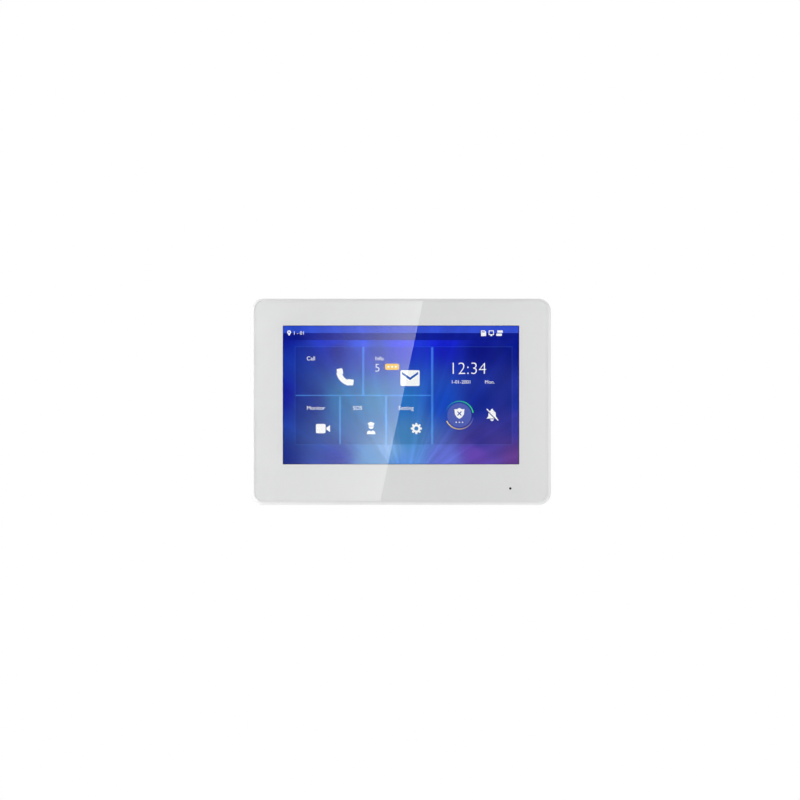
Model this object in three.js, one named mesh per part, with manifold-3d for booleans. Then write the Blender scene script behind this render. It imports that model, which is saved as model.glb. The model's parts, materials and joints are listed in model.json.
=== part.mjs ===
// A wall-hung video intercom monitor: a touch screen behind a white-bordered glass, in a two-part case
// that hangs by four hooks on a steel wall bracket.
//
// Units are millimetres. +X is the viewer's right, +Y runs into the wall and +Z is up. The origin is on
// the wall plane, behind the centre of the case's outline. Depths are given as distances off the wall,
// from `near` (the wall side) to `far` (the room side), so a depth d lies at y = -d.

import * as THREE from "three";
import { mergeVertices } from "three/addons/utils/BufferGeometryUtils.js";
import Module from "manifold-3d";

const wasm = await Module();
wasm.setup();

// ---- Driving dimensions -------------------------------------------------------------------------

const BODY = { w: 196, h: 134.8, r: 8.2, front: 24.5 }; // the case's outline and the glass's front face
const SCREEN = { w: 153.6, h: 90, z: 4.5 }; // a 7-inch panel's picture area, set above the case's centre
const RIM = { side: 2.6, top: 1.5, bottom: 2.6 }; // the frame's rim around the glass, seen from the front
const GLASS = { thickness: 1.1, gap: 0.07, chamfer: 0.15 };
const GLASS_OUTLINE = {
  w: BODY.w - 2 * (RIM.side + GLASS.gap),
  h: BODY.h - RIM.top - RIM.bottom - 2 * GLASS.gap,
  r: BODY.r - RIM.side,
  z: (RIM.bottom - RIM.top) / 2,
};
const MIC = { x: 71.3, z: -56.5, r: 0.7 }; // the sound hole in the glass

// The stack, in distances off the wall.
const PLATE = { near: 0, far: 1.2 }; // the wall bracket's sheet
const COVER = { near: 1.7, wall: 2.2, straight: 11, far: 13.5, inset: 0.5, shoulder: 11 };
const COVER_INSIDE = COVER.near + COVER.wall;
const SEAM = 13.8; // the front frame's rear edge
const FRAME = { wall: 2.2, ledgeNear: 20.9, ledgeFar: 22.9, rimFar: 24.4 };
const BOARD = { near: 12.9, far: 14.5, x0: -62, x1: 90.5, z0: -9.6, z1: 52 };
const CHASSIS = { near: 16.9, far: 17.9 };
const TRAY = { w: 165, h: 102, near: 18, far: 22.6, wall: 0.6 };
const CELL = { w: 161, h: 98, near: 21.1, far: 22.4 };
const TOUCH = { w: 164, h: 100.4, near: 22.8, far: 23.3 };
const TAPE = { near: 23, far: 23.3, inset: 1, w: 168.6, h: 105.4 };
const LEDGE_WINDOW = { w: 166.4, h: 103.4 };
const TONGUE = { outer: 2.45, inner: 3.4, near: 9.5, far: 15.2 }; // the cover's lip inside the frame
const TOUCHING = 0.1; // pieces that touch are modelled this far apart

// The recess in the rear cover where the cables are plugged in, and the connectors along its top.
const BAY = { x: 38, z0: -45, z1: -12, wall: 2, near: 1.7, far: 15.2, floor: 1.4 };
const MOUTH_Z = BAY.z1 - 0.4; // where the connectors' mouths face down
const JACK = { x: 26, w: 16, near: 4.3, far: 15.8, length: 18, sheet: 0.3 };
const ALARM = { x: -22, ways: 8 };
const POWER = { x: 5.5, ways: 2 };
const PITCH = 3.5;
const HEADER = { near: 5.7, wall: 1, length: 9.2, margin: 1.5 };
const PLUG = { length: 18, inserted: 7.4, clearance: 0.15 };

// The wall bracket.
const BRACKET = { x: 56, z0: -52, z1: 44, r: 6 };
const BRACKET_WINDOW = { w: 74, h: 33, z: -28.5 };
const BRACKET_HOLES = [
  { w: 9, h: 4.6, x: 30, z: 4 }, // 60 mm apart, as on a round wall box
  { w: 4.6, h: 4.6, x: 50, z: 39 },
  { w: 4.2, h: 4.2, x: 30, z: -48.5 },
  { w: 4.6, h: 9, x: 12, z: 36 }, // upright, for levelling
]; // one of each on either side of the centre line
const HOOK = { w: 8, sheet: 1.2, tongueNear: 4.4, tongueFar: 5.6, rise: 5 };
const HOOKS = [-1, 1].flatMap((side) => [30, -37].map((z) => ({ x: side * 47, z })));
const LIFT = 7; // how far the monitor rises before it comes off the hooks

// Fasteners: the centre of each, from the front.
const CASE_SCREWS = [-1, 1].flatMap((side) => [60, -59.5].map((z) => ({ x: side * 80, z })));
const CHASSIS_SCREWS = [-1, 1].flatMap((side) => [34, -26].map((z) => ({ x: side * 88, z })));
const BOARD_SCREWS = [
  { x: -57, z: 47 },
  { x: 86, z: 47 },
  { x: -57, z: -4.6 },
  { x: 44, z: -4.4 },
];
const SEAT = 7.4; // depth of the case screws' seats

const SPEAKER = { x: -68.5, z: -29, r: 15, flangeNear: 5.3 };
const SPEAKER_SLOTS = { reach: 12.4, pitch: 3.5, width: 1.8 };
const VENTS = { pitch: 8, width: 2, near: 4.6, far: 9.4 }; // cooling slots in the top and bottom shoulders
const CARD = { x1: 93, z: 20, w: 11, length: 15, near: 11.4, far: 12.4 };
const NOTCH = { x: 92.4, wall: 1.5, z0: 11, z1: 29, far: 13.4 };
const RESET = { x: 74, z: 38, r: 1.7 };
const COIN_CELL = { x: -39, z: 15 };
const LCD_FLEX = { x: 62, w: 22 };
const TOUCH_FLEX = { x: 36, w: 12 };
const RIBBON_THICKNESS = 0.2;
const WIRE = { halfThickness: 0.45, halfWidth: 0.9 };

// ---- Solids -------------------------------------------------------------------------------------

function solidOf(geometry) {
  const bare = geometry.index ? geometry.toNonIndexed() : geometry.clone();
  for (const name of Object.keys(bare.attributes)) {
    if (name !== "position") bare.deleteAttribute(name);
  }
  const merged = mergeVertices(bare, 1e-4);
  const vertProperties = merged.attributes.position.array;
  const triVerts = new Uint32Array(merged.index.array);
  const made = new wasm.Manifold(new wasm.Mesh({ numProp: 3, vertProperties, triVerts }));
  if (made.volume() > 0) return made;
  for (let i = 0; i < triVerts.length; i += 3) {
    [triVerts[i + 1], triVerts[i + 2]] = [triVerts[i + 2], triVerts[i + 1]];
  }
  return new wasm.Manifold(new wasm.Mesh({ numProp: 3, vertProperties, triVerts }));
}

function geometryOf(solid) {
  const { numProp, numVert, vertProperties, triVerts } = solid.getMesh();
  const positions = new Float32Array(numVert * 3);
  for (let i = 0; i < numVert; i++) {
    positions.set(vertProperties.subarray(i * numProp, i * numProp + 3), i * 3);
  }
  const indexed = new THREE.BufferGeometry();
  indexed.setAttribute("position", new THREE.BufferAttribute(positions, 3));
  indexed.setIndex(new THREE.BufferAttribute(triVerts, 1));
  const flat = indexed.toNonIndexed();
  flat.computeVertexNormals();
  return flat;
}

const join = (first, ...others) => others.reduce((made, next) => made.add(next), first);
const cut = (first, ...others) => others.reduce((made, next) => made.subtract(next), first);

function roundedRect(w, h, r, x = 0, z = 0) {
  const shape = new THREE.Shape();
  const [left, right, low, high] = [x - w / 2, x + w / 2, z - h / 2, z + h / 2];
  shape.moveTo(left + r, low);
  shape.lineTo(right - r, low);
  shape.absarc(right - r, low + r, r, -Math.PI / 2, 0);
  shape.lineTo(right, high - r);
  shape.absarc(right - r, high - r, r, 0, Math.PI / 2);
  shape.lineTo(left + r, high);
  shape.absarc(left + r, high - r, r, Math.PI / 2, Math.PI);
  shape.lineTo(left, low + r);
  shape.absarc(left + r, low + r, r, Math.PI, 1.5 * Math.PI);
  return shape;
}

// A shape drawn in X and Z, as a slab between two distances off the wall.
function slab(shape, near, far, curveSegments = 3) {
  const depth = far - near;
  const geometry = new THREE.ExtrudeGeometry(shape, { depth, bevelEnabled: false, curveSegments });
  return solidOf(geometry.rotateX(Math.PI / 2).translate(0, -near, 0));
}

function box(x0, x1, near, far, z0, z1) {
  const geometry = new THREE.BoxGeometry(x1 - x0, far - near, z1 - z0);
  return solidOf(geometry.translate((x0 + x1) / 2, -(near + far) / 2, (z0 + z1) / 2));
}

// A box that reaches equally far to both sides of x.
const block = (x, half, ...sides) => box(x - half, x + half, ...sides);

// A cylinder that points off the wall.
function post(x, z, r, near, far, sides = 20) {
  const geometry = new THREE.CylinderGeometry(r, r, far - near, sides);
  return solidOf(geometry.translate(x, -(near + far) / 2, z));
}

// A solid of revolution about an axis that points off the wall. Its profile lists the radius and the
// distance off the wall of each corner.
function turned(x, z, profile, sides = 24) {
  const points = profile.map(([r, off]) => new THREE.Vector2(r, -off));
  const closed = profile[0][0] === 0 ? points : [...points, points[0]];
  return solidOf(new THREE.LatheGeometry(closed, sides).translate(x, 0, z));
}

// A solid through rounded rectangles at given distances off the wall, listed from the wall outwards.
function loft(sections, cornerSteps = 6) {
  const rings = sections.map(({ w, h, r, z = 0, off }) => {
    const ring = [];
    for (let corner = 0; corner < 4; corner++) {
      const sx = corner === 0 || corner === 3 ? 1 : -1;
      const sz = corner < 2 ? 1 : -1;
      for (let step = 0; step <= cornerSteps; step++) {
        const angle = (corner + step / cornerSteps) * (Math.PI / 2);
        const x = sx * (w / 2 - r) + r * Math.cos(angle);
        ring.push([x, -off, z + sz * (h / 2 - r) + r * Math.sin(angle)]);
      }
    }
    return ring;
  });
  const count = rings[0].length;
  const triangles = [];
  for (let i = 0; i + 1 < rings.length; i++) {
    for (let j = 0; j < count; j++) {
      const k = (j + 1) % count;
      const [a, b, c, d] = [rings[i][j], rings[i][k], rings[i + 1][k], rings[i + 1][j]];
      triangles.push(a, b, c, a, c, d);
    }
  }
  for (const [ring, flip] of [[rings[0], false], [rings.at(-1), true]]) {
    for (let j = 1; j + 1 < count; j++) {
      triangles.push(...(flip ? [ring[0], ring[j], ring[j + 1]] : [ring[0], ring[j + 1], ring[j]]));
    }
  }
  const geometry = new THREE.BufferGeometry();
  geometry.setAttribute("position", new THREE.Float32BufferAttribute(triangles.flat(), 3));
  return solidOf(geometry);
}

// A flat ribbon of constant width in X, following a smooth curve through points [distance off the wall, z].
function ribbon(x, w, thickness, points, steps) {
  const path = new THREE.SplineCurve(points.map(([off, z]) => new THREE.Vector2(off, z)));
  const offset = (share, by) => {
    const { x: off, y: z } = path.getPointAt(share);
    const along = path.getTangentAt(share);
    return new THREE.Vector2(off - along.y * by, z + along.x * by);
  };
  const shares = Array.from({ length: steps + 1 }, (_, i) => i / steps);
  const oneSide = shares.map((share) => offset(share, thickness / 2));
  const otherSide = shares.map((share) => offset(share, -thickness / 2)).reverse();
  const profile = new THREE.Shape([...oneSide, ...otherSide]);
  const geometry = new THREE.ExtrudeGeometry(profile, { depth: w, bevelEnabled: false });
  // The profile is drawn as (off, z): turn it so that off runs to -Y, z to Z and the width along X.
  const turn = new THREE.Matrix4().makeBasis(
    new THREE.Vector3(0, -1, 0),
    new THREE.Vector3(0, 0, 1),
    new THREE.Vector3(-1, 0, 0),
  );
  return solidOf(geometry.applyMatrix4(turn).translate(x + w / 2, 0, 0));
}

// A flat twin wire along a smooth curve through points [x, distance off the wall, z].
function twinWire(points, steps) {
  const path = new THREE.CatmullRomCurve3(points.map(([x, off, z]) => new THREE.Vector3(x, -off, z)));
  const section = new THREE.Shape();
  section.absellipse(0, 0, WIRE.halfThickness, WIRE.halfWidth, 0, 2 * Math.PI);
  return solidOf(new THREE.ExtrudeGeometry(section, { steps, extrudePath: path, curveSegments: 4 }));
}

// ---- Finishes -----------------------------------------------------------------------------------

const finish = (color, roughness, metalness = 0) =>
  new THREE.MeshStandardMaterial({ color, roughness, metalness });

const FINISHES = {
  glossWhite: finish(0xe9e9e9, 0.18),
  matteWhite: finish(0xe4e4e2, 0.5),
  glass: finish(0xf2f6f6, 0.03),
  display: finish(0x1b3bc0, 0.15),
  acrylic: finish(0xf4f7fa, 0.1),
  tape: finish(0x1a1a1a, 0.9),
  zincSteel: finish(0xb4b8bb, 0.35, 1),
  screwSteel: finish(0x8d9094, 0.3, 1),
  board: finish(0x0d4a2c, 0.4),
  blackPlastic: finish(0x141416, 0.45),
  greenPlastic: finish(0x1f8a4c, 0.45),
  nylon: finish(0xece7d6, 0.5),
  rubber: finish(0x17181a, 0.8),
  foam: finish(0x232325, 0.95),
  flex: finish(0xa86a1c, 0.35),
  wire: finish(0xb3202a, 0.5),
  can: finish(0xc9ccd0, 0.3, 1),
  ferrite: finish(0x2c2c2f, 0.7),
  paper: finish(0x1c1c1e, 0.85),
  copper: finish(0xb4602c, 0.3, 1),
  gold: finish(0xd6a741, 0.25, 1),
};

const mesh = (name, solid, material) => {
  const made = new THREE.Mesh(geometryOf(solid), material);
  made.name = name;
  return made;
};

const placed = (made, x, off, z) => {
  made.position.set(x, -off, z);
  return made;
};

// ---- Wall bracket -------------------------------------------------------------------------------

function wallBracket() {
  const { x, z0, z1, r } = BRACKET;
  const sheet = roundedRect(2 * x, z1 - z0, r, 0, (z0 + z1) / 2);
  sheet.holes.push(roundedRect(BRACKET_WINDOW.w, BRACKET_WINDOW.h, 3, 0, BRACKET_WINDOW.z));
  for (const hole of BRACKET_HOLES) {
    const round = Math.min(hole.w, hole.h) / 2 - 0.05;
    for (const side of [-1, 1]) sheet.holes.push(roundedRect(hole.w, hole.h, round, side * hole.x, hole.z));
  }
  for (const hook of HOOKS) {
    // the opening that each hook's blank was bent out of
    const blank = HOOK.rise + HOOK.tongueFar;
    sheet.holes.push(roundedRect(HOOK.w + 1.4, blank, 0.6, hook.x, hook.z - HOOK.sheet - blank / 2 - 0.05));
  }
  const plate = slab(sheet, PLATE.near, PLATE.far);
  const hooks = HOOKS.map((hook) => {
    const underside = hook.z - HOOK.sheet;
    const shelf = block(hook.x, HOOK.w / 2, PLATE.near, HOOK.tongueFar, underside, hook.z);
    const top = roundedRect(HOOK.w, HOOK.rise + 2, 1.5, hook.x, hook.z + HOOK.rise / 2 - 1);
    const tongue = slab(top, HOOK.tongueNear, HOOK.tongueFar, 3);
    const below = block(hook.x, HOOK.w, HOOK.tongueNear - 1, HOOK.tongueFar + 1, underside - 4, underside);
    return join(shelf, cut(tongue, below));
  });
  return mesh("wall_bracket", join(plate, ...hooks), FINISHES.zincSteel);
}

// ---- Front: glass, touch sensor, screen and frame -----------------------------------------------

function coverGlass() {
  const { w, h, r, z } = GLASS_OUTLINE;
  const back = BODY.front - GLASS.thickness;
  const edge = 2 * GLASS.chamfer;
  const pane = loft([
    { w, h, r, z, off: back },
    { w, h, r, z, off: BODY.front - GLASS.chamfer },
    { w: w - edge, h: h - edge, r: r - GLASS.chamfer, z, off: BODY.front },
  ]);
  const hole = post(MIC.x, MIC.z, MIC.r, back - 1, BODY.front + 1, 16);
  return mesh("cover_glass", cut(pane, hole), FINISHES.glass);
}

function glassTape() {
  const { w, h, r, z } = GLASS_OUTLINE;
  const ring = roundedRect(w - 2 * TAPE.inset, h - 2 * TAPE.inset, r - TAPE.inset, 0, z);
  ring.holes.push(roundedRect(TAPE.w, TAPE.h, 2, 0, SCREEN.z));
  ring.holes.push(roundedRect(3, 3, 1.45, MIC.x, MIC.z));
  return mesh("glass_tape", slab(ring, TAPE.near, TAPE.far, 4), FINISHES.tape);
}

function touchSensor() {
  const pane = roundedRect(TOUCH.w, TOUCH.h, 1, 0, SCREEN.z);
  return mesh("touch_sensor", slab(pane, TOUCH.near, TOUCH.far, 3), FINISHES.glass);
}

function touchFlex() {
  const top = SCREEN.z + TOUCH.h / 2 + 0.2;
  const route = [
    [23.05, top],
    [22.95, top + 1.2],
    [22, top + 2.2],
    [19, top + 2.5],
    [15.5, top + 1.6],
    [12.9, top - 1],
    [12.55, top - 4],
    [12.5, 48.2],
  ];
  const strip = ribbon(TOUCH_FLEX.x, TOUCH_FLEX.w, RIBBON_THICKNESS, route, 24);
  return mesh("touch_flex", strip, FINISHES.flex);
}

function lcdCell() {
  const cell = roundedRect(CELL.w, CELL.h, 0.6, 0, SCREEN.z);
  return mesh("lcd_cell", slab(cell, CELL.near, CELL.far, 2), FINISHES.display);
}

function lightGuide() {
  const [w, h] = [TRAY.w - 1.8, TRAY.h - 5.2];
  const sheet = roundedRect(w, h, 0.5, 0, SCREEN.z + 1.7);
  return mesh("light_guide", slab(sheet, TRAY.near + 0.6, CELL.near - TOUCHING, 2), FINISHES.acrylic);
}

function ledStrip() {
  const low = SCREEN.z - TRAY.h / 2 + TRAY.wall + 0.2;
  const base = box(-76, 76, TRAY.near + 0.6, TRAY.near + 2.6, low, low + 1);
  const lamps = [];
  for (let i = 0; i < 13; i++) {
    const x = -72 + 12 * i;
    lamps.push(box(x - 1.9, x + 1.9, TRAY.near + 0.9, TRAY.near + 2.3, low + 0.9, low + 1.8));
  }
  return mesh("led_strip", join(base, ...lamps), FINISHES.nylon);
}

function backlightTray() {
  const outside = slab(roundedRect(TRAY.w, TRAY.h, 1, 0, SCREEN.z), TRAY.near, TRAY.far, 3);
  const [w, h] = [TRAY.w - 2 * TRAY.wall, TRAY.h - 2 * TRAY.wall];
  const inside = slab(roundedRect(w, h, 0.6, 0, SCREEN.z), TRAY.near + 0.5, TRAY.far + 1, 3);
  const low = SCREEN.z - TRAY.h / 2;
  const flexNotch = block(LCD_FLEX.x, LCD_FLEX.w / 2 + 1, 21, TRAY.far + 1, low - 1, low + 1.5);
  return mesh("backlight_tray", cut(outside, inside, flexNotch), FINISHES.zincSteel);
}

function lcdFlex() {
  const low = SCREEN.z - CELL.h / 2 - 0.15;
  const route = [
    [21.75, low],
    [21.7, low - 1.6],
    [21.1, low - 2.7],
    [19, low - 3.1],
    [16.9, low - 2.7],
    [15.9, low - 0.6],
    [15.7, -36],
    [14.6, -20],
    [12.9, -12.6],
    [12.5, -8],
    [12.5, -5.8],
  ];
  const strip = ribbon(LCD_FLEX.x, LCD_FLEX.w, RIBBON_THICKNESS, route, 32);
  return mesh("lcd_flex", strip, FINISHES.flex);
}

// The case's outline drawn in by a distance.
const inset = (by, off) => ({ w: BODY.w - 2 * by, h: BODY.h - 2 * by, r: BODY.r - by, off });

function frameOutside() {
  const land = 0.3; // flat strip between the rounded rim and the glass
  const start = FRAME.ledgeNear;
  const sections = [inset(0.3, SEAM), inset(0, SEAM + 0.3), inset(0, start)];
  const steps = 6;
  for (let i = 1; i <= steps; i++) {
    const angle = (i / steps) * (Math.PI / 2);
    const share = 1 - Math.cos(angle);
    const [side, top, bottom] = [RIM.side, RIM.top, RIM.bottom].map((rim) => (rim - land) * share);
    sections.push({
      w: BODY.w - 2 * side,
      h: BODY.h - top - bottom,
      r: BODY.r - side,
      z: (bottom - top) / 2,
      off: start + (FRAME.rimFar - start) * Math.sin(angle),
    });
  }
  return loft(sections, 7);
}

// The frame's outer shell: its rim, its side walls and the ledge that the glass is stuck to.
function frameShell() {
  const seat = {
    ...GLASS_OUTLINE,
    w: GLASS_OUTLINE.w + 2 * GLASS.gap,
    h: GLASS_OUTLINE.h + 2 * GLASS.gap,
  };
  const glassSeat = loft([
    { ...seat, off: FRAME.ledgeFar },
    { ...seat, off: BODY.front + 1 },
  ]);
  const hollow = loft([inset(FRAME.wall, SEAM - 1), inset(FRAME.wall, FRAME.ledgeNear)]);
  const ledgeShape = roundedRect(LEDGE_WINDOW.w, LEDGE_WINDOW.h, 1.2, 0, SCREEN.z);
  const window = slab(ledgeShape, FRAME.ledgeNear - 1, FRAME.ledgeFar + 1, 3);
  return cut(frameOutside(), glassSeat, hollow, window);
}

function frontFrame() {
  const root = FRAME.ledgeNear + 0.2; // where the bosses join the back of the ledge
  const bosses = [];
  const holes = [];
  for (const { x, z } of CASE_SCREWS) {
    const [low, high] = [z, Math.sign(z) * 65.5].sort((a, b) => a - b);
    bosses.push(post(x, z, 3.2, 10.7, root));
    bosses.push(block(x, 0.6, 15.6, root, low, high)); // a rib to the frame's wall
    holes.push(post(x, z, 1.6, 10, 18.6, 14));
  }
  for (const { x, z } of CHASSIS_SCREWS) {
    bosses.push(post(x, z, 3, CHASSIS.far + TOUCHING, root));
    holes.push(post(x, z, 1.35, CHASSIS.far - 1, 21.2, 14));
  }
  bosses.push(post(MIC.x, MIC.z, 5.4, 17.6, root));
  holes.push(post(MIC.x, MIC.z, 4.3, 17, FRAME.ledgeNear));
  holes.push(post(MIC.x, MIC.z, 1, 20, BODY.front, 14));
  // Where the two ribbon cables pass the ledge.
  const low = SCREEN.z - LEDGE_WINDOW.h / 2;
  const high = SCREEN.z + LEDGE_WINDOW.h / 2;
  holes.push(block(LCD_FLEX.x, LCD_FLEX.w / 2 + 1.5, 20, FRAME.ledgeFar + 1, low - 2, low + 0.5));
  holes.push(block(TOUCH_FLEX.x, TOUCH_FLEX.w / 2 + 1.5, 20, FRAME.ledgeFar + 0.3, high - 0.5, high + 2));
  return mesh("front_frame", cut(join(frameShell(), ...bosses), ...holes), FINISHES.glossWhite);
}

// ---- Chassis, main board and what is on it ------------------------------------------------------

function chassisPlate() {
  const { near, far } = CHASSIS;
  const sheet = roundedRect(168, 101.8, 2, 0, 4.7);
  // Windows that lighten the plate, and round holes along its lower edge and beside the speaker.
  sheet.holes.push(roundedRect(60, 24, 4, -26, 36));
  sheet.holes.push(roundedRect(44, 20, 4, 56, 4));
  sheet.holes.push(roundedRect(26, 18, 4, 10, -30));
  for (const x of [-66, -40, 34]) sheet.holes.push(roundedRect(8, 8, 3.9, x, -30));
  for (const x of [-70, -20]) sheet.holes.push(roundedRect(12, 8, 3.9, x, 6));
  const ears = CHASSIS_SCREWS.map(({ x, z }) => {
    const ear = roundedRect(12, 11, 3, Math.sign(x) * 85.5, z);
    return slab(ear, near, far);
  });
  const earHoles = CHASSIS_SCREWS.map(({ x, z }) => post(x, z, 1.5, near - 1, far + 1, 10));
  // The board's top right stud stands on an ear of its own.
  const studEar = slab(roundedRect(10, 10, 3, 84.5, 47), near, far);
  const studs = BOARD_SCREWS.map(({ x, z }) => post(x, z, 2.6, BOARD.far + TOUCHING, near + 0.3, 6));
  const threads = BOARD_SCREWS.map(({ x, z }) => post(x, z, 1.35, BOARD.far - 1, far + 1, 10));
  const plate = join(slab(sheet, near, far), studEar, ...ears, ...studs);
  return mesh("chassis_plate", cut(plate, ...earHoles, ...threads), FINISHES.zincSteel);
}

function mainBoard() {
  const { x0, x1, z0, z1, near, far } = BOARD;
  const outline = roundedRect(x1 - x0, z1 - z0, 2, (x0 + x1) / 2, (z0 + z1) / 2);
  for (const { x, z } of BOARD_SCREWS) outline.holes.push(roundedRect(3.1, 3.1, 1.5, x, z));
  const jackNotch = block(JACK.x, JACK.w / 2 + 0.3, near - 1, far + 1, z0 - 1, 6.3);
  return mesh("main_board", cut(slab(outline, near, far, 4), jackNotch), FINISHES.board);
}

// A steel can over the processor, with three rows of cooling holes.
function processorShield() {
  const [w, h, t, x, z] = [38, 32, 3, -8, 31];
  const far = BOARD.near - TOUCHING;
  const outside = slab(roundedRect(w, h, 1.2, x, z), far - t, far, 3);
  const inside = slab(roundedRect(w - 0.6, h - 0.6, 0.9, x, z), far - t + 0.3, far + 1, 3);
  const holes = [];
  for (const across of [-12, -6, 0, 6, 12]) {
    for (const up of [-6, 0, 6]) holes.push(post(x + across, z + up, 1, far - t - 1, far - t + 1, 6));
  }
  return mesh("processor_shield", cut(outside, inside, ...holes), FINISHES.zincSteel);
}

// Puts a part whose own depth runs from 0 to its height on the board's wall side.
function onBoard(made, x, z, height) {
  return placed(made, x, BOARD.near - TOUCHING - height, z);
}

// A part of the wall side's electronics: a rectangle centred on its own origin, between two depths.
const layer = (w, h, r, near, far) => slab(roundedRect(w, h, r), near, far, 2);

function poeTransformer() {
  const [w, h, t] = [13.5, 15, 8];
  const flanges = [layer(w, h, 0.8, t - 1.6, t), layer(w, h, 0.8, 1, 2.2)];
  const winding = layer(w - 4, h - 2.4, 3, 1.5, t - 1);
  const core = layer(w - 1, 6, 0.5, 0, t - 0.4);
  return onBoard(mesh("poe_transformer", join(...flanges, winding, core), FINISHES.ferrite), 66, 8.6, t);
}

function powerInductor() {
  const [w, t] = [10.4, 4.4];
  const body = slab(roundedRect(w - 0.8, w - 0.8, 1.2), 0, t, 3);
  const foot = slab(roundedRect(w, w, 0.8), t - 1.2, t, 3);
  return onBoard(mesh("power_inductor", join(body, foot), FINISHES.ferrite), 28, 18, t);
}

function capacitor(index) {
  const t = 7.6;
  const can = [
    [0, 0],
    [3.6, 0],
    [4, 0.4],
    [4, 5.4],
    [3.7, 5.7],
    [4, 6],
    [4, 6.5],
    [0, 6.5],
  ];
  const base = slab(roundedRect(8.4, 8.4, 1), 6.4, t, 2);
  const made = mesh(`capacitor_${index + 1}`, join(turned(0, 0, can, 20), base), FINISHES.can);
  return onBoard(made, [-1, 9][index], 5.6, t);
}

function coinCell() {
  const cell = [
    [0, 0],
    [5.6, 0],
    [6.2, 0.3],
    [6.2, 1.9],
    [0, 1.9],
  ];
  const made = mesh("coin_cell", turned(0, 0, cell, 24), FINISHES.can);
  return placed(made, COIN_CELL.x, BOARD.near - 3, COIN_CELL.z);
}

function coinCellHolder() {
  const far = BOARD.near - TOUCHING;
  const { x, z } = COIN_CELL;
  const body = slab(roundedRect(14.4, 15.6, 1.5, x, z), far - 3.2, far, 3);
  const well = post(x, z, 6.4, far - 4, far - 0.8, 28);
  const thumbGap = block(x, 3, far - 4, far - 1.4, z + 5, z + 9);
  const clip = block(x, 7, far - 3.7, far - 3.15, z - 7.2, z - 3.4);
  return mesh("coin_cell_holder", join(cut(body, well, thumbGap), clip), FINISHES.nylon);
}

// ---- Network jack -------------------------------------------------------------------------------

function networkJackShell() {
  const { x, w, near, far, length, sheet } = JACK;
  const back = MOUTH_Z + length;
  const outside = block(x, w / 2, near, far, MOUTH_Z, back);
  const inside = block(x, w / 2 - sheet, near + sheet, far - sheet, MOUTH_Z - 1, back - sheet);
  const springs = [-1, 1].map((side) =>
    block(x + side * (w / 2 - 0.15), 0.5, 9, 11, MOUTH_Z + 3, MOUTH_Z + 7),
  );
  return mesh("network_jack_shell", cut(outside, inside, ...springs), FINISHES.zincSteel);
}

function networkJackInsert() {
  const { x, w, near, far, length, sheet } = JACK;
  const gap = sheet + TOUCHING;
  const mouth = MOUTH_Z + 0.2;
  const body = block(x, w / 2 - gap, near + gap, far - gap, mouth, MOUTH_Z + length - gap);
  const port = block(x, 5.9, 6.6, 13.7, mouth - 1, mouth + 13.6);
  const latch = block(x, 3.1, 5, 6.8, mouth - 1, mouth + 12);
  return mesh("network_jack_insert", cut(body, port, latch), FINISHES.blackPlastic);
}

// Eight sprung contacts that lean away from the mouth, on one carrier.
function networkJackContacts() {
  const carrier = block(0, 5.1, 13, 13.55, 2.2, 3.2);
  const wires = [];
  for (let i = 0; i < 8; i++) {
    const wire = new THREE.BoxGeometry(0.45, 0.35, 8.6).translate(0, 0, 4.1);
    wire.rotateX(-0.2).translate(-3.57 + 1.02 * i, -13.22, 2.6);
    wires.push(solidOf(wire));
  }
  return placed(mesh("network_jack_contacts", join(carrier, ...wires), FINISHES.gold), JACK.x, 0, MOUTH_Z);
}

// ---- Pluggable terminals ------------------------------------------------------------------------

const headerWidth = (ways) => ways * PITCH + 2 * HEADER.margin;

// A shrouded pin header whose mouth faces down. Its local origin is at the middle of its mouth.
function terminalHeader(name, { x, ways }) {
  const half = headerWidth(ways) / 2;
  const { near, wall, length } = HEADER;
  const far = BOARD.near - TOUCHING;
  const outside = block(0, half, near, far, 0, length);
  const inside = block(0, half - wall, near + wall, far - wall, -1, length - wall);
  const pins = [];
  for (let i = 0; i < ways; i++) {
    const at = (i - (ways - 1) / 2) * PITCH;
    pins.push(block(at, 0.4, 8.7, 9.5, 1.4, length));
  }
  return placed(mesh(name, join(cut(outside, inside), ...pins), FINISHES.greenPlastic), x, 0, MOUTH_Z);
}

// The plug that pushes up into a header: a tongue with a hole for each pin, and a body with a wire
// entry below and a clamp-screw well facing the wall for each way.
function terminalPlug(name, { x, ways }) {
  const half = headerWidth(ways) / 2;
  const { near, wall } = HEADER;
  const far = BOARD.near - TOUCHING;
  const { length, inserted, clearance } = PLUG;
  const edge = wall + clearance;
  const foot = inserted - length;
  const tongue = block(0, half - edge, near + edge, far - edge, -0.5, inserted);
  const body = block(0, half, near, far, foot, -0.4);
  const cuts = [];
  for (let i = 0; i < ways; i++) {
    const at = (i - (ways - 1) / 2) * PITCH;
    cuts.push(block(at, 0.65, 8.45, 9.75, 0, inserted + 1));
    cuts.push(post(at, -4.6, 1.25, near - 1, near + 1.2, 10));
    cuts.push(block(at, 1.15, 7.6, 10.6, foot - 1, foot + 4));
  }
  return placed(mesh(name, cut(join(tongue, body), ...cuts), FINISHES.greenPlastic), x, 0, MOUTH_Z);
}

// ---- Memory card, reset key and small sockets ---------------------------------------------------

function sdSocket() {
  const { z, w, near, far } = CARD;
  const [x0, x1] = [76, NOTCH.x - NOTCH.wall - 0.2];
  const outside = box(x0, x1, near - 0.5, BOARD.near - TOUCHING, z - w / 2 - 1.3, z + w / 2 + 1.3);
  const inside = box(x0 + 0.7, x1 + 1, near - 0.15, far + 0.15, z - w / 2 - 0.2, z + w / 2 + 0.2);
  const inspection = box(80, 86, near - 1, near, z - 3, z + 3);
  return mesh("sd_socket", cut(outside, inside, inspection), FINISHES.zincSteel);
}

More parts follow.
